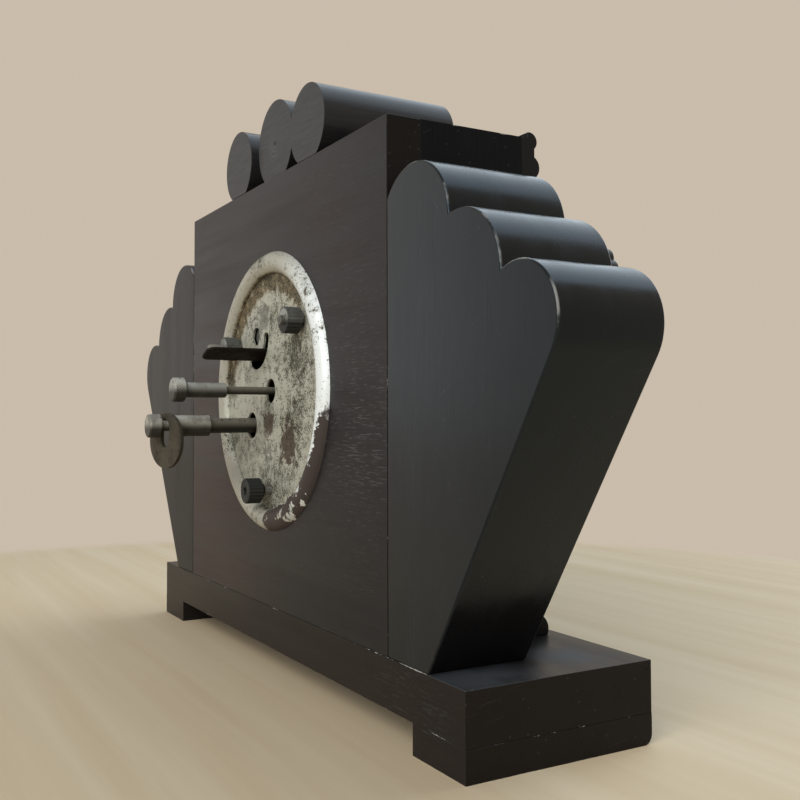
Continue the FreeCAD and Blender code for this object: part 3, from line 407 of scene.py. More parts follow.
@dataclass(frozen=True)
class SawnRod:
    """Black rod whose sawn ends show fine marks and rubbed rings."""

    name: str
    side: Colour = (0.014, 0.013, 0.0135)
    sawn: Colour = (0.037, 0.037, 0.039)
    rubbed: Colour = (0.13, 0.13, 0.125)
    gloss: float = 0.27
    sheen: Colour = (0.9, 0.96, 1.0)
    ring_share: float = 0.0
    ring_pitch: float = 0.28 * MM
    ring_reach: float = 6 * MM

    def material(self, node: str) -> bpy.types.Material:
        """Builds the material for one CAD node."""
        shader = Shader(f"{self.name}_{node}")
        low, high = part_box(node)
        place = shader.place()
        x, y, z = shader.axes(place)
        across = x - (low.x + high.x) / 2
        up = z - (high.z - (high.x - low.x) / 2)
        radius = shader.math("SQRT", across * across + up * up)
        ends = abs(y - (low.y + high.y) / 2).above((high.y - low.y) / 2 - 0.15 * MM, 0.1 * MM)
        fibres = shader.noise(shader.mapped(Grain.ALONG_Y.cell(30 * MM, 0.7 * MM)), 1.0, 3.0, 0.6)
        saw = shader.noise(shader.mapped(Grain.ALONG_X.cell(12 * MM, 0.5 * MM)), 1.0, 2.0, 0.6)
        clouds = shader.noise(place, 60.0, 4.0)
        wave = shader.math("SINE", radius / self.ring_pitch + clouds * 5)
        rings = wave.above(0.5, 0.8) * radius.below(self.ring_reach, 4 * MM) * clouds.above(0.5, 0.15)
        colour = shader.mix(fibres.above(0.5, 0.4), self.side, scaled(self.side, 1.6))
        end_tone = shader.mix(saw.above(0.55, 0.25) * 0.22, self.sawn, scaled(self.sawn, 0.6))
        end_tone = shader.mix(rings * self.ring_share, end_tone, self.rubbed)
        colour = shader.mix(ends, colour, end_tone)
        rough = 0.32 + 0.12 * (fibres - 0.5) + ends * (0.14 + 0.2 * (saw - 0.5))
        normal = shader.bump(fibres * (1 - ends) + saw * ends, 0.03 * MM, 0.5)
        return shader.finish(Base_Color=colour, Roughness=rough, Normal=normal,
                             Specular_IOR_Level=self.gloss, Specular_Tint=self.sheen)


@dataclass(frozen=True)
class BareWood:
    """Plain pale wood of the hidden dowels."""

    name: str
    tone: Colour
    grain: Grain

    def material(self) -> bpy.types.Material:
        """Builds the material."""
        shader = Shader(self.name)
        fibres = shader.noise(shader.mapped(self.grain.cell(25 * MM, 1.1 * MM)), 1.0, 3.0)
        colour = shader.mix(fibres.above(0.5, 0.3), self.tone, scaled(self.tone, 0.6))
        normal = shader.bump(fibres, 0.05 * MM)
        return shader.finish(Base_Color=colour, Roughness=0.55 + 0.2 * fibres, Normal=normal)


@dataclass(frozen=True)
class AgedMetal:
    """Turned metal with patina, dark specks, fine rubbed lines and painted shade under given axes."""

    name: str
    tone: Colour
    patina: Colour
    specks: float = 0.5
    metallic: float = 0.85
    roughness: float = 0.38
    speck_scale: float = 700.0
    shade: float = 0.09
    grip_radius: float = 1.0
    gloss: float = 0.5

    def material(self, axes: tuple[Vector, ...] = (), dark_below: float = -1.0) -> bpy.types.Material:
        """Builds the material.

        Args:
            axes: points on the axes of pieces that get painted shade below the axis and, past a radius, on
                their outer side.
            dark_below: height below which all is dark.

        Returns:
            The material.
        """
        shader = Shader(self.name)
        place = shader.place()
        x, _, z = shader.axes(place)
        clouds = shader.noise(place, 130.0, 4.0, 0.6)
        lines = shader.noise(shader.mapped((3 * MM, 0.2 * MM, 3 * MM)), 1.0, 1.0)
        distance, chance = shader.cells(place, self.speck_scale)
        spots = distance.below(0.34, 0.2) * chance.above(1 - 0.5 * self.specks, 0.1)
        grime = clouds.above(0.55, 0.2)
        shaded = z.below(dark_below, 1 * MM)
        # Painted shade below each axis and, past a radius, on the outer side
        for axis in axes:
            aside, up = x - axis.x, z - axis.z
            out = shader.math("SQRT", aside * aside + up * up)
            under = (up + 1 * MM * (clouds - 0.5)).below(0.2 * MM, 3.4 * MM)
            under = under.most(out.above(self.grip_radius, 0.3 * MM) * 0.75)
            shaded = shaded.most(out.below(6 * MM, 1 * MM) * under)
        colour = shader.mix(shaded, self.tone, scaled(self.tone, self.shade))
        share = (0.55 * grime + 0.75 * spots + 0.15 * lines).least(1.0) * (1 - 0.5 * shaded)
        colour = shader.mix(share, colour, self.patina)
        rough = self.roughness + 0.18 * grime + 0.2 * spots + 0.1 * (lines - 0.5)
        normal = shader.bump(clouds * 0.5 + lines * 0.3 - spots, 0.03 * MM)
        metal = self.metallic * (1 - 0.5 * spots)
        return shader.finish(Base_Color=colour, Roughness=rough, Metallic=metal, Normal=normal,
                             Specular_IOR_Level=self.gloss)


@dataclass(frozen=True)
class PittedPlate:
    """Pale plated sheet, pitted all over, brown in patches, bare along a stretch of its rim, and with a
    painted highlight on the rim's side of -X.
    """

    name: str
    clean: Colour = (0.86, 0.89, 0.87)
    cream: Colour = (0.42, 0.4, 0.33)
    pan: Colour = (0.47, 0.455, 0.375)
    dull: Colour = (0.25, 0.25, 0.2)
    rust: Colour = (0.18, 0.113, 0.042)
    scab: Colour = (0.085, 0.058, 0.043)
    grey: Colour = (0.2, 0.195, 0.165)
    base_metal: Colour = (0.055, 0.042, 0.037)
    pit: Colour = (0.105, 0.095, 0.064)
    deep_pit: Colour = (0.032, 0.028, 0.02)
    bare_from: float = -3.0
    bare_full: float = -2.55
    bare_to: float = -1.58
    arc_from: float = 0.1
    arc_to: float = 2.35
    arc_width: float = 6.5 * MM
    scabs: tuple[Spot, ...] = (
        Spot((-18 * MM, 0, -20 * MM), 15 * MM), Spot((1 * MM, 0, -14 * MM), 9 * MM),
    )
    greyed: tuple[Spot, ...] = (
        Spot((8 * MM, 0, 28 * MM), 14 * MM), Spot((2 * MM, 0, -24 * MM), 9 * MM),
    )
    speckled: tuple[Spot, ...] = (
        Spot((-23 * MM, 0, 13 * MM), 12 * MM), Spot((40 * MM, 0, 3 * MM), 9 * MM),
        Spot((3 * MM, 0, -13 * MM), 10 * MM), Spot((5 * MM, 0, -38 * MM), 15 * MM),
        Spot((-22 * MM, 0, -14 * MM), 16 * MM), Spot((36 * MM, 0, -16 * MM), 9 * MM),
        Spot((45 * MM, 0, -20 * MM), 14 * MM), Spot((8 * MM, 0, 48 * MM), 12 * MM),
    )

    def bare_rim(self, shader: Shader, radius: Value, angle: Value, pan_radius: float) -> Value:
        """Mask of the stretch of rim whose plating is gone, with islands left on it.

        Args:
            shader: shader that takes the nodes.
            radius: distance from the cover's axis.
            angle: direction from the axis in radians.
            pan_radius: radius where the pan meets the rim.

        Returns:
            The mask.
        """
        flakes = shader.noise(shader.place(), 210.0, 5.0, 0.7)
        stretch = (angle + 0.5 * (flakes - 0.5)).above(self.bare_from, 0.1)
        stretch = stretch * (angle + 0.12 * (flakes - 0.5)).below(self.bare_to, 0.03)
        inner = pan_radius + 5 * MM - 6 * MM * angle.above(self.bare_full, 0.4)
        outside = (radius - inner + 9 * MM * (flakes - 0.5)).above(0.0, 0.4 * MM)
        crest = abs(radius - pan_radius - 5 * MM).below(2.4 * MM, 2 * MM) * angle.below(-1.85, 0.3)
        islands = (shader.noise(shader.place(), 190.0, 4.0, 0.65) + 0.075 * crest).above(0.64, 0.02)
        return stretch * outside * (1 - islands)

    def material(self, node: str, pan_radius: float) -> bpy.types.Material:
        """Builds the material.

        Args:
            node: CAD node of the cover.
            pan_radius: radius where the pan meets the rim.

        Returns:
            The material.
        """
        shader = Shader(self.name)
        place = shader.place()
        x, _, z = shader.axes(place)
        low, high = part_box(node)
        middle = (low + high) / 2
        across = x - middle.x
        up = z - middle.z
        radius = shader.math("SQRT", across * across + up * up)
        angle = shader.math("ARCTAN2", up, across)
        blotches = shader.noise(place, 60.0, 5.0, 0.62)
        crumbs = shader.noise(place, 330.0, 4.0, 0.7)
        fine = shader.noise(place, 1500.0, 2.0, 0.6)
        # Masks of the rim, the brown arc inside it along the top, the scabs and the grey, dull and pitted
        # places
        rim = radius.above(pan_radius + 0.4 * MM, 0.8 * MM)
        arc = (radius + 6 * MM * (crumbs - 0.5)).above(pan_radius - self.arc_width, 2.5 * MM) * (1 - rim)
        wavy_angle = angle + 0.6 * (blotches - 0.5)
        arc = arc * wavy_angle.above(self.arc_from, 0.4) * angle.below(self.arc_to, 0.5)
        ragged = 1.2 * crumbs + blotches
        scabs, greyed, specked = (patches(shader, tuple(spot.moved(middle) for spot in spots))
                                  for spots in (self.scabs, self.greyed, self.speckled))
        scabs = (scabs * 0.55 + ragged).above(1.4, 0.08)
        greyed = (greyed * 0.5 + ragged).above(1.42, 0.08)
        right = across.below(-2 * MM, 30 * MM)
        low_pan = (1 - rim) * up.below(-14 * MM, 40 * MM)
        dulled = blotches * 0.8 + crumbs * 0.4 + 0.12 * specked + 0.08 * low_pan - 0.08 * rim
        dulled = dulled.above(0.66, 0.22)
        crowd = 0.25 + 0.6 * specked + 0.6 * arc + 0.3 * right * (1 - 0.6 * rim) - 0.5 * rim
        depth = fine * 0.65 + crumbs * 0.5 + 0.16 * (blotches - 0.5) + 0.13 * crowd
        pits = depth.above(0.665, 0.07)
        deep = depth.above(0.75, 0.05)
        bare = self.bare_rim(shader, radius, angle, pan_radius)
        # Colours, from the plating up to the bare metal; the rim is painted paler on the side of -X, a
        # painted highlight
        plate = shader.mix(abs(angle).above(2.2, 0.9), self.cream, self.clean)
        colour = shader.mix(rim, self.pan, plate)
        colour = shader.mix(dulled * 0.75, colour, self.dull)
        colour = shader.mix(arc * crumbs.above(0.36, 0.16) * 0.9, colour, self.rust)
        colour = shader.mix(greyed * 0.8, colour, self.grey)
        colour = shader.mix(pits * 0.8, colour, self.pit)
        colour = shader.mix(scabs * 0.9, colour, self.scab)
        colour = shader.mix(deep * 0.9, colour, self.deep_pit)
        colour = shader.mix(bare, colour, self.base_metal)
        flaw = (arc * 0.7 + scabs + bare + pits).least(1.0)
        rough = 0.45 + 0.16 * dulled + 0.2 * flaw - 0.06 * rim
        metal = 0.15 * (1 - flaw)
        relief = crumbs * 0.25 - pits * 0.5 - deep * 0.5 - bare * 0.7 - scabs * 0.3
        normal = shader.bump(relief, 0.08 * MM)
        return shader.finish(Base_Color=colour, Roughness=rough, Metallic=metal, Normal=normal,
                             Specular_IOR_Level=0.22)


@dataclass(frozen=True)
class Lacquer:
    """Smooth paint or lacquer with a little mottle, brushed or plain."""

    name: str
    tone: Colour
    mottle: Colour
    metallic: float = 0.0
    roughness: float = 0.3

    def material(self) -> bpy.types.Material:
        """Builds the material."""
        shader = Shader(self.name)
        place = shader.place()
        clouds = shader.noise(place, 45.0, 4.0, 0.6)
        fine = shader.noise(place, 1400.0, 2.0)
        colour = shader.mix(clouds.above(0.55, 0.35), self.tone, self.mottle)
        rough = self.roughness + 0.12 * (clouds - 0.5) + 0.08 * (fine - 0.5)
        normal = shader.bump(fine, 0.01 * MM)
        return shader.finish(Base_Color=colour, Roughness=rough, Metallic=self.metallic, Normal=normal)


@dataclass(frozen=True)
class ClearGlass:
    """Clear glass of the dial."""

    name: str
    tint: Colour = (0.3, 0.31, 0.305)
    veil: float = 0.1
    bending: float = 1.5

    def material(self) -> bpy.types.Material:
        """Builds the material."""
        shader = Shader(self.name)
        haze = shader.noise(shader.place(), 90.0, 3.0)
        return shader.finish(Base_Color=self.tint, Roughness=0.02 + 0.05 * haze, Alpha=self.veil,
                             IOR=self.bending)


def paint(node: str, material: bpy.types.Material) -> None:
    """Gives a CAD node its only material."""
    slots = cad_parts[node].data.materials
    slots.clear()
    slots.append(material)
    log.info("painted %s with %s", node, material.name)


def soften(node: str, width: float, segments: int = 2) -> None:
    """Rounds the sharp edges of a CAD node with modifiers.

    Args:
        node: name of the node.
        width: size of the rounding in metres.
        segments: steps of the rounding.
    """
    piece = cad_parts[node]
    weld = piece.modifiers.new("weld", "WELD")
    weld.merge_threshold = 0.002 * MM
    flat = piece.modifiers.new("flat", "DECIMATE")
    flat.decimate_type = "DISSOLVE"
    flat.angle_limit = math.radians(0.5)
    bevel = piece.modifiers.new("bevel", "BEVEL")
    bevel.width = width
    bevel.segments = segments
    bevel.limit_method = "ANGLE"
    bevel.angle_limit = math.radians(35)
    piece.modifiers.new("normals", "WEIGHTED_NORMAL")


def meshed(name: str, shape: bmesh.types.BMesh) -> bpy.types.Mesh:
    """Turns a bmesh into a mesh and frees it."""
    mesh = bpy.data.meshes.new(name)
    shape.to_mesh(mesh)
    shape.free()
    return mesh


def new_piece(
    name: str, mesh: bpy.types.Mesh, material: bpy.types.Material, body: str
) -> bpy.types.Object:
    """Adds a piece that rides on a body.

    Args:
        name: name of the piece.
        mesh: its mesh, in the frame's place.
        material: its material.
        body: CAD body that carries it.

    Returns:
        The new object.
    """
    piece = bpy.data.objects.new(name, mesh)
    bpy.context.scene.collection.objects.link(piece)
    mesh.materials.clear()
    mesh.materials.append(material)
    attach(piece, body)
    log.info("made %s on %s", name, body)
    return piece


def spun(name: str, axis: Vector, profile: list[tuple[float, float]], steps: int) -> bmesh.types.BMesh:
    """Spins a profile round an axis along Y.

    Args:
        name: name of the shape, for the log.
        axis: a point of the axis, with Y at 0.
        profile: points as radius and Y.
        steps: number of steps of the whole turn.

    Returns:
        The closed shape, with its faces outwards.
    """
    shape = bmesh.new()
    points = [shape.verts.new(axis + Vector((radius, y, 0))) for radius, y in profile]
    edges = [shape.edges.new(pair) for pair in zip(points, points[1:])]
    bmesh.ops.spin(shape, geom=points + edges, cent=axis, axis=(0, 1, 0), angle=math.tau, steps=steps,
                   use_merge=True)
    bmesh.ops.remove_doubles(shape, verts=shape.verts, dist=0.001 * MM)
    bmesh.ops.recalc_face_normals(shape, faces=shape.faces)
    log.info("spun %s in %d steps", name, steps)
    return shape


@dataclass
class WoodenCase:
    """Ebonised case: base, block, wings, rods and rosettes."""

    board_round: float = 0.3 * MM
    base_round: float = 0.25 * MM
    wing_round: float = 0.6 * MM
    rod_round: float = 0.4 * MM
    wing_foot_width: float = 22.3 * MM
    dowel_tone: Colour = (0.5, 0.36, 0.2)

    def base(self) -> None:
        """Paints and rounds the base board, and paints its feet."""
        low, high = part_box("base_board")
        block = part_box("back_board")
        foot = block[0].x - self.wing_foot_width
        # Spots of dust and painted sheen on the top, near the wing's foot
        dusty = (Spot((foot - 8 * MM, high.y - 9 * MM, high.z), 26 * MM),
                 Spot((foot - 26 * MM, high.y - 12 * MM, high.z), 22 * MM),
                 Spot((foot - 3 * MM, high.y - 48 * MM, high.z), 17 * MM))
        scuffed = (Spot((foot + 16 * MM, high.y, high.z), 30 * MM),
                   Spot((low.x + 17 * MM, high.y, low.z + 4 * MM), 17 * MM))
        finish = Ebonised("worn", Grain.ALONG_X, (0.0145, 0.0122, 0.0115), dash_share=0.1, gloss=0.13,
                          sheen=(1.0, 0.92, 0.85), wear=0.3 * MM, deep_ends=0.3, scuffed=scuffed,
                          dusty=dusty)
        paint("base_board", finish.material("base_board"))
        soften("base_board", self.base_round)
        for node in ("foot_left", "foot_right"):
            paint(node, replace(finish, wear=0.1 * MM).material(node))

    def block(self) -> None:
        """Paints and rounds the boards of the block."""
        low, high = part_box("back_board")
        flushed = (Spot((high.x - 20 * MM, high.y, low.z + 45 * MM), 120 * MM),)
        scuffed = (Spot((low.x + 14 * MM, high.y, low.z + 62 * MM), 62 * MM),)
        back = Ebonised("worn", Grain.ALONG_X, (0.015, 0.0148, 0.0165), (0.042, 0.026, 0.023),
                        dash_share=0.2, wear=0.16 * MM, gloss=0.14, deep_ends=0.85, flushed=flushed,
                        scuffed=scuffed)
        paint("back_board", back.material("back_board"))
        soften("back_board", self.board_round)
        side = Ebonised("black", Grain.ALONG_Z, (0.0055, 0.006, 0.0075), thin_share=0.1, dash_share=0.05,
                        gloss=0.09)
        for node in ("case_side_left", "case_side_right"):
            paint(node, side.material(node))
            soften(node, 0.5 * self.board_round)
        plain = Ebonised("black", Grain.ALONG_X, (0.009, 0.009, 0.01), thin_share=0.15, dash_share=0.1,
                         gloss=0.15)
        for node in ("case_top", "case_floor", "front_board"):
            paint(node, plain.material(node))
        soften("front_board", self.board_round)

    def wings(self) -> None:
        """Paints and rounds the wings and their rosettes."""
        satin = Ebonised("satin", Grain.ALONG_Z, (0.009, 0.0093, 0.0099), (0.018, 0.0203, 0.0235),
                         thin_share=0.6, dash_share=0.03, wear=0.0, glint=0.6, roughness=0.24, gloss=0.31,
                         sheen=(0.6, 0.81, 1.0), deep_sides=0.85)
        low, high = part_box("wing_left")
        hazy = (Spot((high.x - 10 * MM, high.y, 0.4 * low.z + 0.6 * high.z), 62 * MM),)
        haze = replace(satin, flushed=hazy)
        paint("wing_left", haze.material("wing_left"))
        faded = replace(satin, gloss=0.08, sheen=(0.84, 0.92, 1.0))
        paint("wing_right", faded.material("wing_right"))
        for node in ("wing_left", "wing_right"):
            soften(node, self.wing_round, 3)
        carved = Ebonised("carved", Grain.ALONG_X, thin_share=0.1, dash_share=0.1, wear=0.0)
        for node in ("rosette_left", "rosette_right"):
            paint(node, carved.material(node))
            soften(node, self.rod_round)

    def rods(self) -> None:
        """Paints and rounds the three rods on the top."""
        for node, rings in (("rod_left", 0.0), ("rod_middle", 0.4), ("rod_right", 0.0)):
            paint(node, SawnRod("sawn", ring_share=rings).material(node))
            soften(node, self.rod_round)

    def dress(self) -> None:
        """Dresses every wooden node."""
        self.base()
        self.block()
        self.wings()
        self.rods()
        for node, grain in (("wing_dowels", Grain.ALONG_X), ("rod_dowels", Grain.ALONG_Z)):
            paint(node, BareWood(f"bare_{node}", self.dowel_tone, grain).material())


@dataclass
class Rear:
    """Back cover with its nuts, and the knob, key, ring and lever that stand out of it."""

    pan_radius: float = 43.9 * MM
    knob_length: float = 4.6 * MM
    knob_round: float = 0.5 * MM
    stem_radius: float = 2.7 * MM
    stem_round: float = 0.2 * MM
    bore_radius: float = 1.48 * MM
    bore_depth: float = 8.0 * MM
    knurl_depth: float = 0.22 * MM
    knurl_rows: int = 7
    knurl_columns: int = 44
    stud_circle: float = 37.0 * MM
    loose_stud_angle: float = math.radians(28.5)
    tight_stud_angle: float = math.radians(140.0)
    loose_stud_extra: float = 4.6 * MM
    stud_bare: float = 1.4 * MM
    stud_radius: float = 1.5 * MM
    thread_pitch: float = 0.55 * MM
    thread_height: float = 0.22 * MM
    thread_steps: int = 32
    ring_round: float = 0.25 * MM
    small_round: float = 0.15 * MM

    def axis_of(self, node: str) -> Vector:
        """Point on the Y axis through the middle of a node's box, with Y at 0."""
        low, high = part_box(node)
        return Vector(((low.x + high.x) / 2, 0, (low.z + high.z) / 2))

    def knurled_knob(self) -> bpy.types.Mesh:
        """Mesh of the hand setting knob: a plain stem and a head with a crossed knurl.

        Returns:
            The mesh, in the place of the CAD knob.
        """
        low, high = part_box("set_knob")
        axis = self.axis_of("set_knob")
        radius = (high.x - low.x) / 2
        head = high.y - self.knob_length
        first, last = head + self.knob_round, high.y - self.knob_round
        rows = [first + (last - first) * row / (self.knurl_rows - 1) for row in range(self.knurl_rows)]
        side = radius - self.knurl_depth
        bore_end = low.y + self.bore_depth
        profile = [(0, bore_end), (self.bore_radius, bore_end), (self.bore_radius, low.y),
                   (self.stem_radius - self.stem_round, low.y), (self.stem_radius, low.y + self.stem_round),
                   (self.stem_radius, head), (side - self.knob_round, head)]
        profile += [(side, row) for row in rows]
        profile.append((side - 0.6 * self.knob_round, high.y - 0.1 * MM))
        profile += [(side - 1.4 * self.knob_round, high.y), (0, high.y)]
        shape = spun("knob", axis, profile, self.knurl_columns)
        raised = [vert for vert in shape.verts if self.on_ridge(vert.co - axis, rows)]
        share = radius / side
        bmesh.ops.scale(shape, vec=(share, 1, share), space=Matrix.Translation(-axis), verts=raised)
        return meshed("knurled_knob", shape)

    def on_ridge(self, place: Vector, rows: list[float]) -> bool:
        """Whether a point of the knob, measured from its axis, is a peak of the knurl."""
        row = [index for index, y in enumerate(rows) if abs(place.y - y) < 0.01 * MM]
        column = round(math.atan2(place.z, place.x) / math.tau * self.knurl_columns)
        return bool(row) and place.xz.length > 1.1 * self.stem_radius and (row[0] + column) % 2 == 0

    def stud_axis(self, angle: float) -> Vector:
        """Point on the axis of the stud at an angle round the cover, with Y at 0."""
        outwards = Vector((math.cos(angle), 0, math.sin(angle)))
        return self.axis_of("back_cover") + self.stud_circle * outwards

    def thread(self, angle: float, end: float, length: float) -> bpy.types.Mesh:
        """Mesh of the thread on the bare end of one stud.

        Args:
            angle: direction of the stud from the cover's axis, in radians.
            end: Y of the stud's end.
            length: length of the thread.

        Returns:
            The mesh of a ridged sleeve with a closed end.
        """
        profile = [(0.9 * self.stud_radius, end - length)]
        for turn in range(int(length / self.thread_pitch)):
            start = end - length + turn * self.thread_pitch
            profile.append((1.01 * self.stud_radius, start))
            profile.append((self.stud_radius + self.thread_height, start + self.thread_pitch / 2))
        profile += [(self.stud_radius, end - 0.1 * MM), (0.75 * self.stud_radius, end + 0.05 * MM)]
        profile.append((0, end + 0.05 * MM))
        return meshed("stud_thread", spun("thread", self.stud_axis(angle), profile, self.thread_steps))

    def shafts(self) -> None:
        """Paints the hand setting and the winding shaft, and makes the knob."""
        # The knob, key and arbors get painted shade below their axes
        axes = (self.axis_of("set_knob"), self.axis_of("winding_key"))
        steel = AgedMetal("grey_steel", (0.37, 0.365, 0.33), (0.09, 0.082, 0.065), specks=0.4,
                          metallic=0.3, roughness=0.45, gloss=0.3)
        grey = steel.material(axes)
        paint("set_knob", grey)
        knob = new_piece("knurled_knob", self.knurled_knob(), grey, "hand_setting")
        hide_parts("set_knob")
        key = replace(steel, name="key_steel", tone=(0.48, 0.46, 0.4), patina=(0.09, 0.08, 0.06))
        paint("winding_key", key.material(axes))
        brown = AgedMetal("brown_steel", (0.2, 0.182, 0.145), (0.05, 0.043, 0.032), specks=0.7,
                          metallic=0.2, roughness=0.5, gloss=0.25).material(axes)
        for node in ("centre_arbor", "winding_arbor"):
            paint(node, brown)
        ring = AgedMetal("ring_steel", (0.075, 0.064, 0.047), (0.04, 0.034, 0.024), specks=0.3,
                         metallic=0.1, roughness=0.5, gloss=0.12)
        paint("winding_ring", ring.material())
        soften("winding_ring", self.ring_round)

    def fasteners(self) -> None:
        """Paints the nuts, the studs and the screw in the cover, and adds the threads."""
        # The nuts get painted shade below the stud axes and on their knurled sides; below the cover's
        # middle all is dark
        nuts = AgedMetal("tarnished_nuts", (0.34, 0.34, 0.31), (0.03, 0.03, 0.028), specks=0.5,
                         metallic=0.1, roughness=0.42, grip_radius=4 * MM, gloss=0.1)
        axes = tuple(self.stud_axis(angle) for angle in (self.loose_stud_angle, self.tight_stud_angle))
        paint("thumb_nuts", nuts.material(axes, self.axis_of("back_cover").z))
        soften("thumb_nuts", self.small_round)
        dull = AgedMetal("dull_studs", (0.24, 0.235, 0.205), (0.06, 0.055, 0.045), specks=0.6,
                         metallic=0.3, roughness=0.45, gloss=0.2)
        dark = replace(dull, name="dark_screws", tone=(0.1, 0.098, 0.085), patina=(0.04, 0.036, 0.03),
                       metallic=0.1)
        paint("bearing_screws", dark.material())
        studs = dull.material()
        paint("cover_studs", studs)
        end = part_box("cover_studs")[1].y
        loose = self.thread(self.loose_stud_angle, end, self.loose_stud_extra + self.stud_bare)
        new_piece("loose_stud_thread", loose, studs, "case")
        tight = self.thread(self.tight_stud_angle, end - self.loose_stud_extra, self.stud_bare)
        dark_end = replace(dark, name="dark_stud_end").material()
        new_piece("tight_stud_thread", tight, dark_end, "case")

    def dress(self) -> None:
        """Paints the rear pieces and adds what the solids lack."""
        paint("back_cover", PittedPlate("pitted_plate").material("back_cover", self.pan_radius))
        self.shafts()
        self.fasteners()
        lever = AgedMetal("dark_lever", (0.012, 0.009, 0.0065), (0.006, 0.0045, 0.003), specks=0.4,
                          metallic=0.0, roughness=0.6, gloss=0.1)
        paint("regulator", lever.material())
        soften("regulator", self.small_round)


@dataclass
class Movement:
    """Plates, wheels, springs and screws inside the case."""

    brass_plates: tuple[str, ...] = (
        "back_plate", "front_plate", "plate_pillars", "dial_pillars", "dial_plate", "spacer_ring",
    )
    brass_wheels: tuple[str, ...] = (
        "barrel", "barrel_cap", "centre_wheel", "third_wheel", "escape_wheel", "minute_wheel", "hour_wheel",
        "balance_wheel",
    )
    ground_steel: tuple[str, ...] = ("ratchet_wheel", "click", "pallet_lever", "cannon_pinion")
    blued_springs: tuple[str, ...] = ("mainspring", "hairspring", "click_spring")
    screws: tuple[str, ...] = ("base_screws", "click_screw", "hairspring_stud", "minute_stud")

    def dress(self) -> None:
        """Paints each group of pieces."""
        plates = AgedMetal("plate_brass", (0.72, 0.52, 0.22), (0.3, 0.2, 0.08), specks=0.2, metallic=1.0,
                           roughness=0.3)
        wheels = replace(plates, name="wheel_brass", tone=(0.76, 0.56, 0.24), patina=(0.34, 0.23, 0.09),
                         specks=0.1, roughness=0.25)
        ground = replace(wheels, name="ground_steel", tone=(0.5, 0.5, 0.49), patina=(0.2, 0.19, 0.18),
                         roughness=0.28)
        springs = replace(wheels, name="blued_spring", tone=(0.12, 0.14, 0.22), patina=(0.06, 0.06, 0.08))
        screws = replace(plates, name="screw_steel", tone=(0.4, 0.38, 0.34), patina=(0.13, 0.11, 0.09),
                         specks=0.4, roughness=0.35)
        groups = (self.brass_plates, self.brass_wheels, self.ground_steel, self.blued_springs, self.screws)
        for nodes, finish in zip(groups, (plates, wheels, ground, springs, screws)):
            material = finish.material()
            for node in nodes:
                paint(node, material)


@dataclass
class Dial:
    """Dial with its numbers and minute track, hands, bezel and glass."""

    number_size: float = 9.5 * MM
    number_radius: float = 40.5 * MM
    track_radius: float = 48.6 * MM
    mark_length: float = 2.4 * MM
    mark_width: float = 0.55 * MM
    hour_mark_width: float = 1.3 * MM
    ink_height: float = 0.12 * MM
    hand_round: float = 0.12 * MM
    bezel_round: float = 0.3 * MM

    def place(self, angle: float, radius: float) -> Matrix:
        """Placement on the dial's front at a clock angle in radians, upright text facing the front."""
        low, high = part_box("dial_face")
        middle = (low + high) / 2
        spot = Vector((middle.x + radius * math.sin(angle), low.y, middle.z + radius * math.cos(angle)))
        return Matrix.Translation(spot) @ Matrix.Rotation(math.pi / 2, 4, "X")

    def numbers(self) -> bpy.types.Mesh:
        """Mesh of the twelve plain numbers."""
        shape = bmesh.new()
        for hour in range(1, 13):
            curve = bpy.data.curves.new("number", "FONT")
            curve.body = str(hour)
            curve.size = self.number_size
            curve.extrude = self.ink_height / 2
            curve.align_x = "CENTER"
            curve.align_y = "CENTER"
            text = bpy.data.objects.new("number", curve)
            mesh = bpy.data.meshes.new_from_object(text)
            mesh.transform(Matrix.Translation((0, 0, self.ink_height / 2)))
            mesh.transform(self.place(hour * math.pi / 6, self.number_radius))
            shape.from_mesh(mesh)
            bpy.data.objects.remove(text)
        return meshed("dial_numbers", shape)

    def track(self) -> bpy.types.Mesh:
        """Mesh of the sixty minute marks."""
        shape = bmesh.new()
        for minute in range(60):
            angle = minute * math.pi / 30
            width = self.mark_width if minute % 5 else self.hour_mark_width
            size = Matrix.Diagonal((width, self.mark_length, self.ink_height, 1))
            lift = Matrix.Translation((0, 0, self.ink_height / 2))
            turn = Matrix.Rotation(-angle, 4, "Z")
            spot = self.place(angle, self.track_radius)
            bmesh.ops.create_cube(shape, size=1.0, matrix=spot @ turn @ lift @ size)
        return meshed("minute_track", shape)

    def dress(self) -> None:
        """Paints the front and adds the numbers and the track."""
        silver = Lacquer("silvered_dial", (0.74, 0.7, 0.6), (0.62, 0.56, 0.44), metallic=0.3,
                         roughness=0.42)
        paint("dial_face", silver.material())
        ink = Lacquer("black_ink", (0.02, 0.02, 0.022), (0.035, 0.033, 0.03), roughness=0.45).material()
        for node in ("hour_hand", "minute_hand"):
            paint(node, ink)
            soften(node, self.hand_round)
        brass = AgedMetal("aged_bezel", (0.66, 0.48, 0.21), (0.25, 0.17, 0.08), specks=0.25, metallic=1.0,
                          roughness=0.26)
        paint("bezel", brass.material())
        soften("bezel", self.bezel_round)
        paint("glass", ClearGlass("dial_glass").material())
        new_piece("dial_numbers", self.numbers(), ink, "case")
        new_piece("minute_track", self.track(), ink, "case")


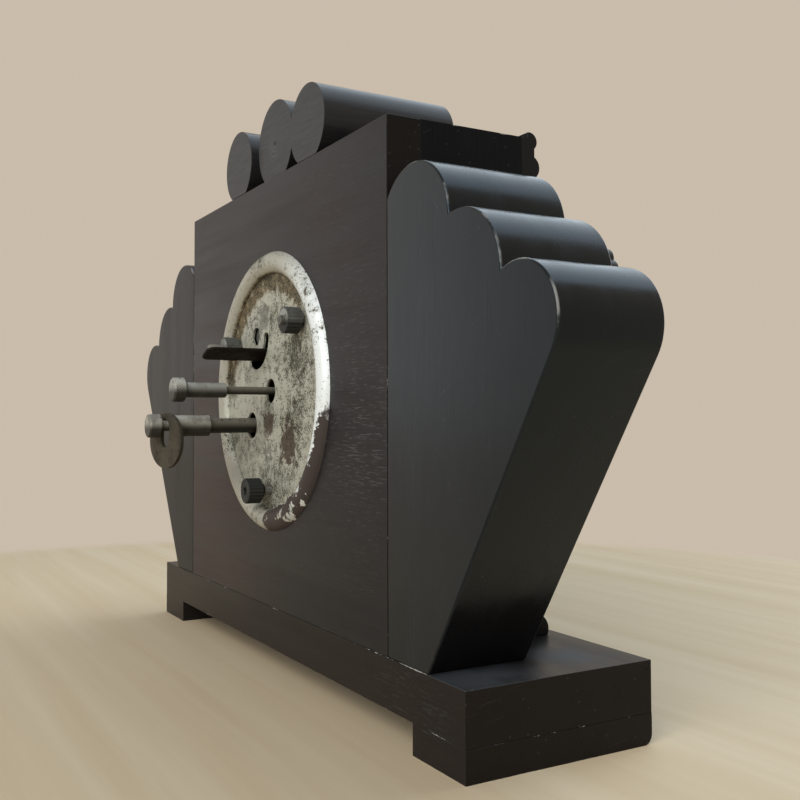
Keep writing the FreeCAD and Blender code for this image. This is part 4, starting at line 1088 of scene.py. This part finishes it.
@dataclass
class Studio:
    """Pale floor, soft lights and the camera at the photograph's place."""

    floor_tone: Colour = (0.7, 0.53, 0.33)
    floor_streak: Colour = (0.78, 0.62, 0.42)
    floor_size: float = 6.0
    board_cell: Triple = (0.5, 0.02, 1.0)
    floor_reach: float = 0.4
    floor_fade: float = 0.04
    wall_tone: Colour = (0.59, 0.505, 0.41)
    ambient: Colour = (0.15, 0.17, 0.2)
    lamp_aim: Triple = (0, 0, 0.1)
    camera_x: float = -339.03 * MM
    camera_behind: float = 138.47 * MM
    camera_z: float = 93.17 * MM
    yaw: float = math.radians(29.882)
    pitch: float = math.radians(1.974)
    roll: float = math.radians(-0.175)
    focal_pixels: float = 970.01
    centre_row: float = 386.04
    frame_pixels: float = 800.0
    sensor: float = 36.0

    def camera(self) -> None:
        """Makes the camera."""
        data = bpy.data.cameras.new("camera")
        data.sensor_width = self.sensor
        data.sensor_fit = "HORIZONTAL"
        data.lens = self.focal_pixels / self.frame_pixels * self.sensor
        data.shift_y = (self.centre_row - self.frame_pixels / 2) / self.frame_pixels
        data.clip_start = 0.01
        level = math.cos(self.pitch)
        forward = Vector((math.cos(self.yaw) * level, -math.sin(self.yaw) * level, math.sin(self.pitch)))
        right = forward.cross(Vector((0, 0, 1))).normalized()
        up = right.cross(forward)
        across = right * math.cos(self.roll) + up * math.sin(self.roll)
        upright = up * math.cos(self.roll) - right * math.sin(self.roll)
        spot = Vector((self.camera_x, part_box("back_board")[1].y + self.camera_behind, self.camera_z))
        turn = Matrix((across, upright, -forward)).transposed().to_4x4()
        camera = bpy.data.objects.new("camera", data)
        camera.matrix_world = Matrix.Translation(spot) @ turn
        bpy.context.scene.collection.objects.link(camera)
        bpy.context.scene.camera = camera

    def floor(self) -> None:
        """Makes the floor as one wide sheet."""
        shape = bmesh.new()
        bmesh.ops.create_grid(shape, x_segments=1, y_segments=1, size=self.floor_size)
        mesh = meshed("floor", shape)
        floor = bpy.data.objects.new("floor", mesh)
        bpy.context.scene.collection.objects.link(floor)
        shader = Shader("pale_floor")
        place = shader.place()
        boards = shader.noise(shader.mapped(self.board_cell), 1.0, 4.0, 0.6)
        tone = shader.mix(boards.above(0.5, 0.5), self.floor_tone, self.floor_streak)
        x, y, _ = shader.axes(place)
        far = shader.math("SQRT", x * x + y * y).above(self.floor_reach, self.floor_fade) * shader.seen()
        wall = shader.node("ShaderNodeEmission", {}, {"Color": self.wall_tone, "Strength": 1.0})
        surfaces = {0: far, 1: shader.surface.outputs[0], 2: wall.outputs[0]}
        blend = shader.node("ShaderNodeMixShader", {}, surfaces)
        shader.feed(shader.output.inputs["Surface"], blend.outputs[0])
        mesh.materials.append(shader.finish(Base_Color=tone, Roughness=0.6, Specular_IOR_Level=0.2))

    def lamp(self, name: str, spot: Triple, size: float, power: float, tone: Colour) -> None:
        """Adds one soft area lamp that points at the clock.

        Args:
            name: name of the lamp.
            spot: its place in metres.
            size: length of its side.
            power: its power in watts.
            tone: its colour.
        """
        data = bpy.data.lights.new(name, "AREA")
        data.size = size
        data.energy = power
        data.color = tone
        lamp = bpy.data.objects.new(name, data)
        lamp.location = spot
        towards = Vector(self.lamp_aim) - Vector(spot)
        lamp.rotation_euler = towards.to_track_quat("-Z", "Y").to_euler()
        bpy.context.scene.collection.objects.link(lamp)

    def sky(self) -> None:
        """Makes the dim surrounding light, which looks like a pale wall where it is seen."""
        world = bpy.data.worlds.new("studio")
        bpy.context.scene.world = world
        world.use_nodes = True
        graph = Graph(world.node_tree)
        tone = graph.mix(graph.seen(), self.ambient, self.wall_tone)
        graph.feed(world.node_tree.nodes["Background"].inputs["Color"], tone)

    def build(self) -> None:
        """Makes the whole studio."""
        self.camera()
        self.floor()
        self.sky()
        self.lamp("key", (-0.75, 1.1, 0.8), 1.2, 20.0, (0.94, 0.98, 1.0))
        self.lamp("top_panel", (0.19, -0.62, 1.1), 1.4, 9.0, (0.62, 0.82, 1.0))
        self.lamp("left_panel", (1.3, 0.75, 0.5), 0.9, 1.0, (0.8, 0.88, 1.0))
        self.lamp("front_panel", (0.1, -1.4, 0.5), 1.0, 6.0, (1.0, 0.97, 0.93))
        bpy.context.scene.view_settings.view_transform = "Standard"


def main() -> None:
    """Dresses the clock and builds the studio."""
    logging.basicConfig(level=logging.INFO)
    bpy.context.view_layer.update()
    for part in (WoodenCase(), Rear(), Movement(), Dial()):
        log.info("dressing %s", type(part).__name__)
        part.dress()
    Studio().build()


if __name__ == "__main__":
    main()
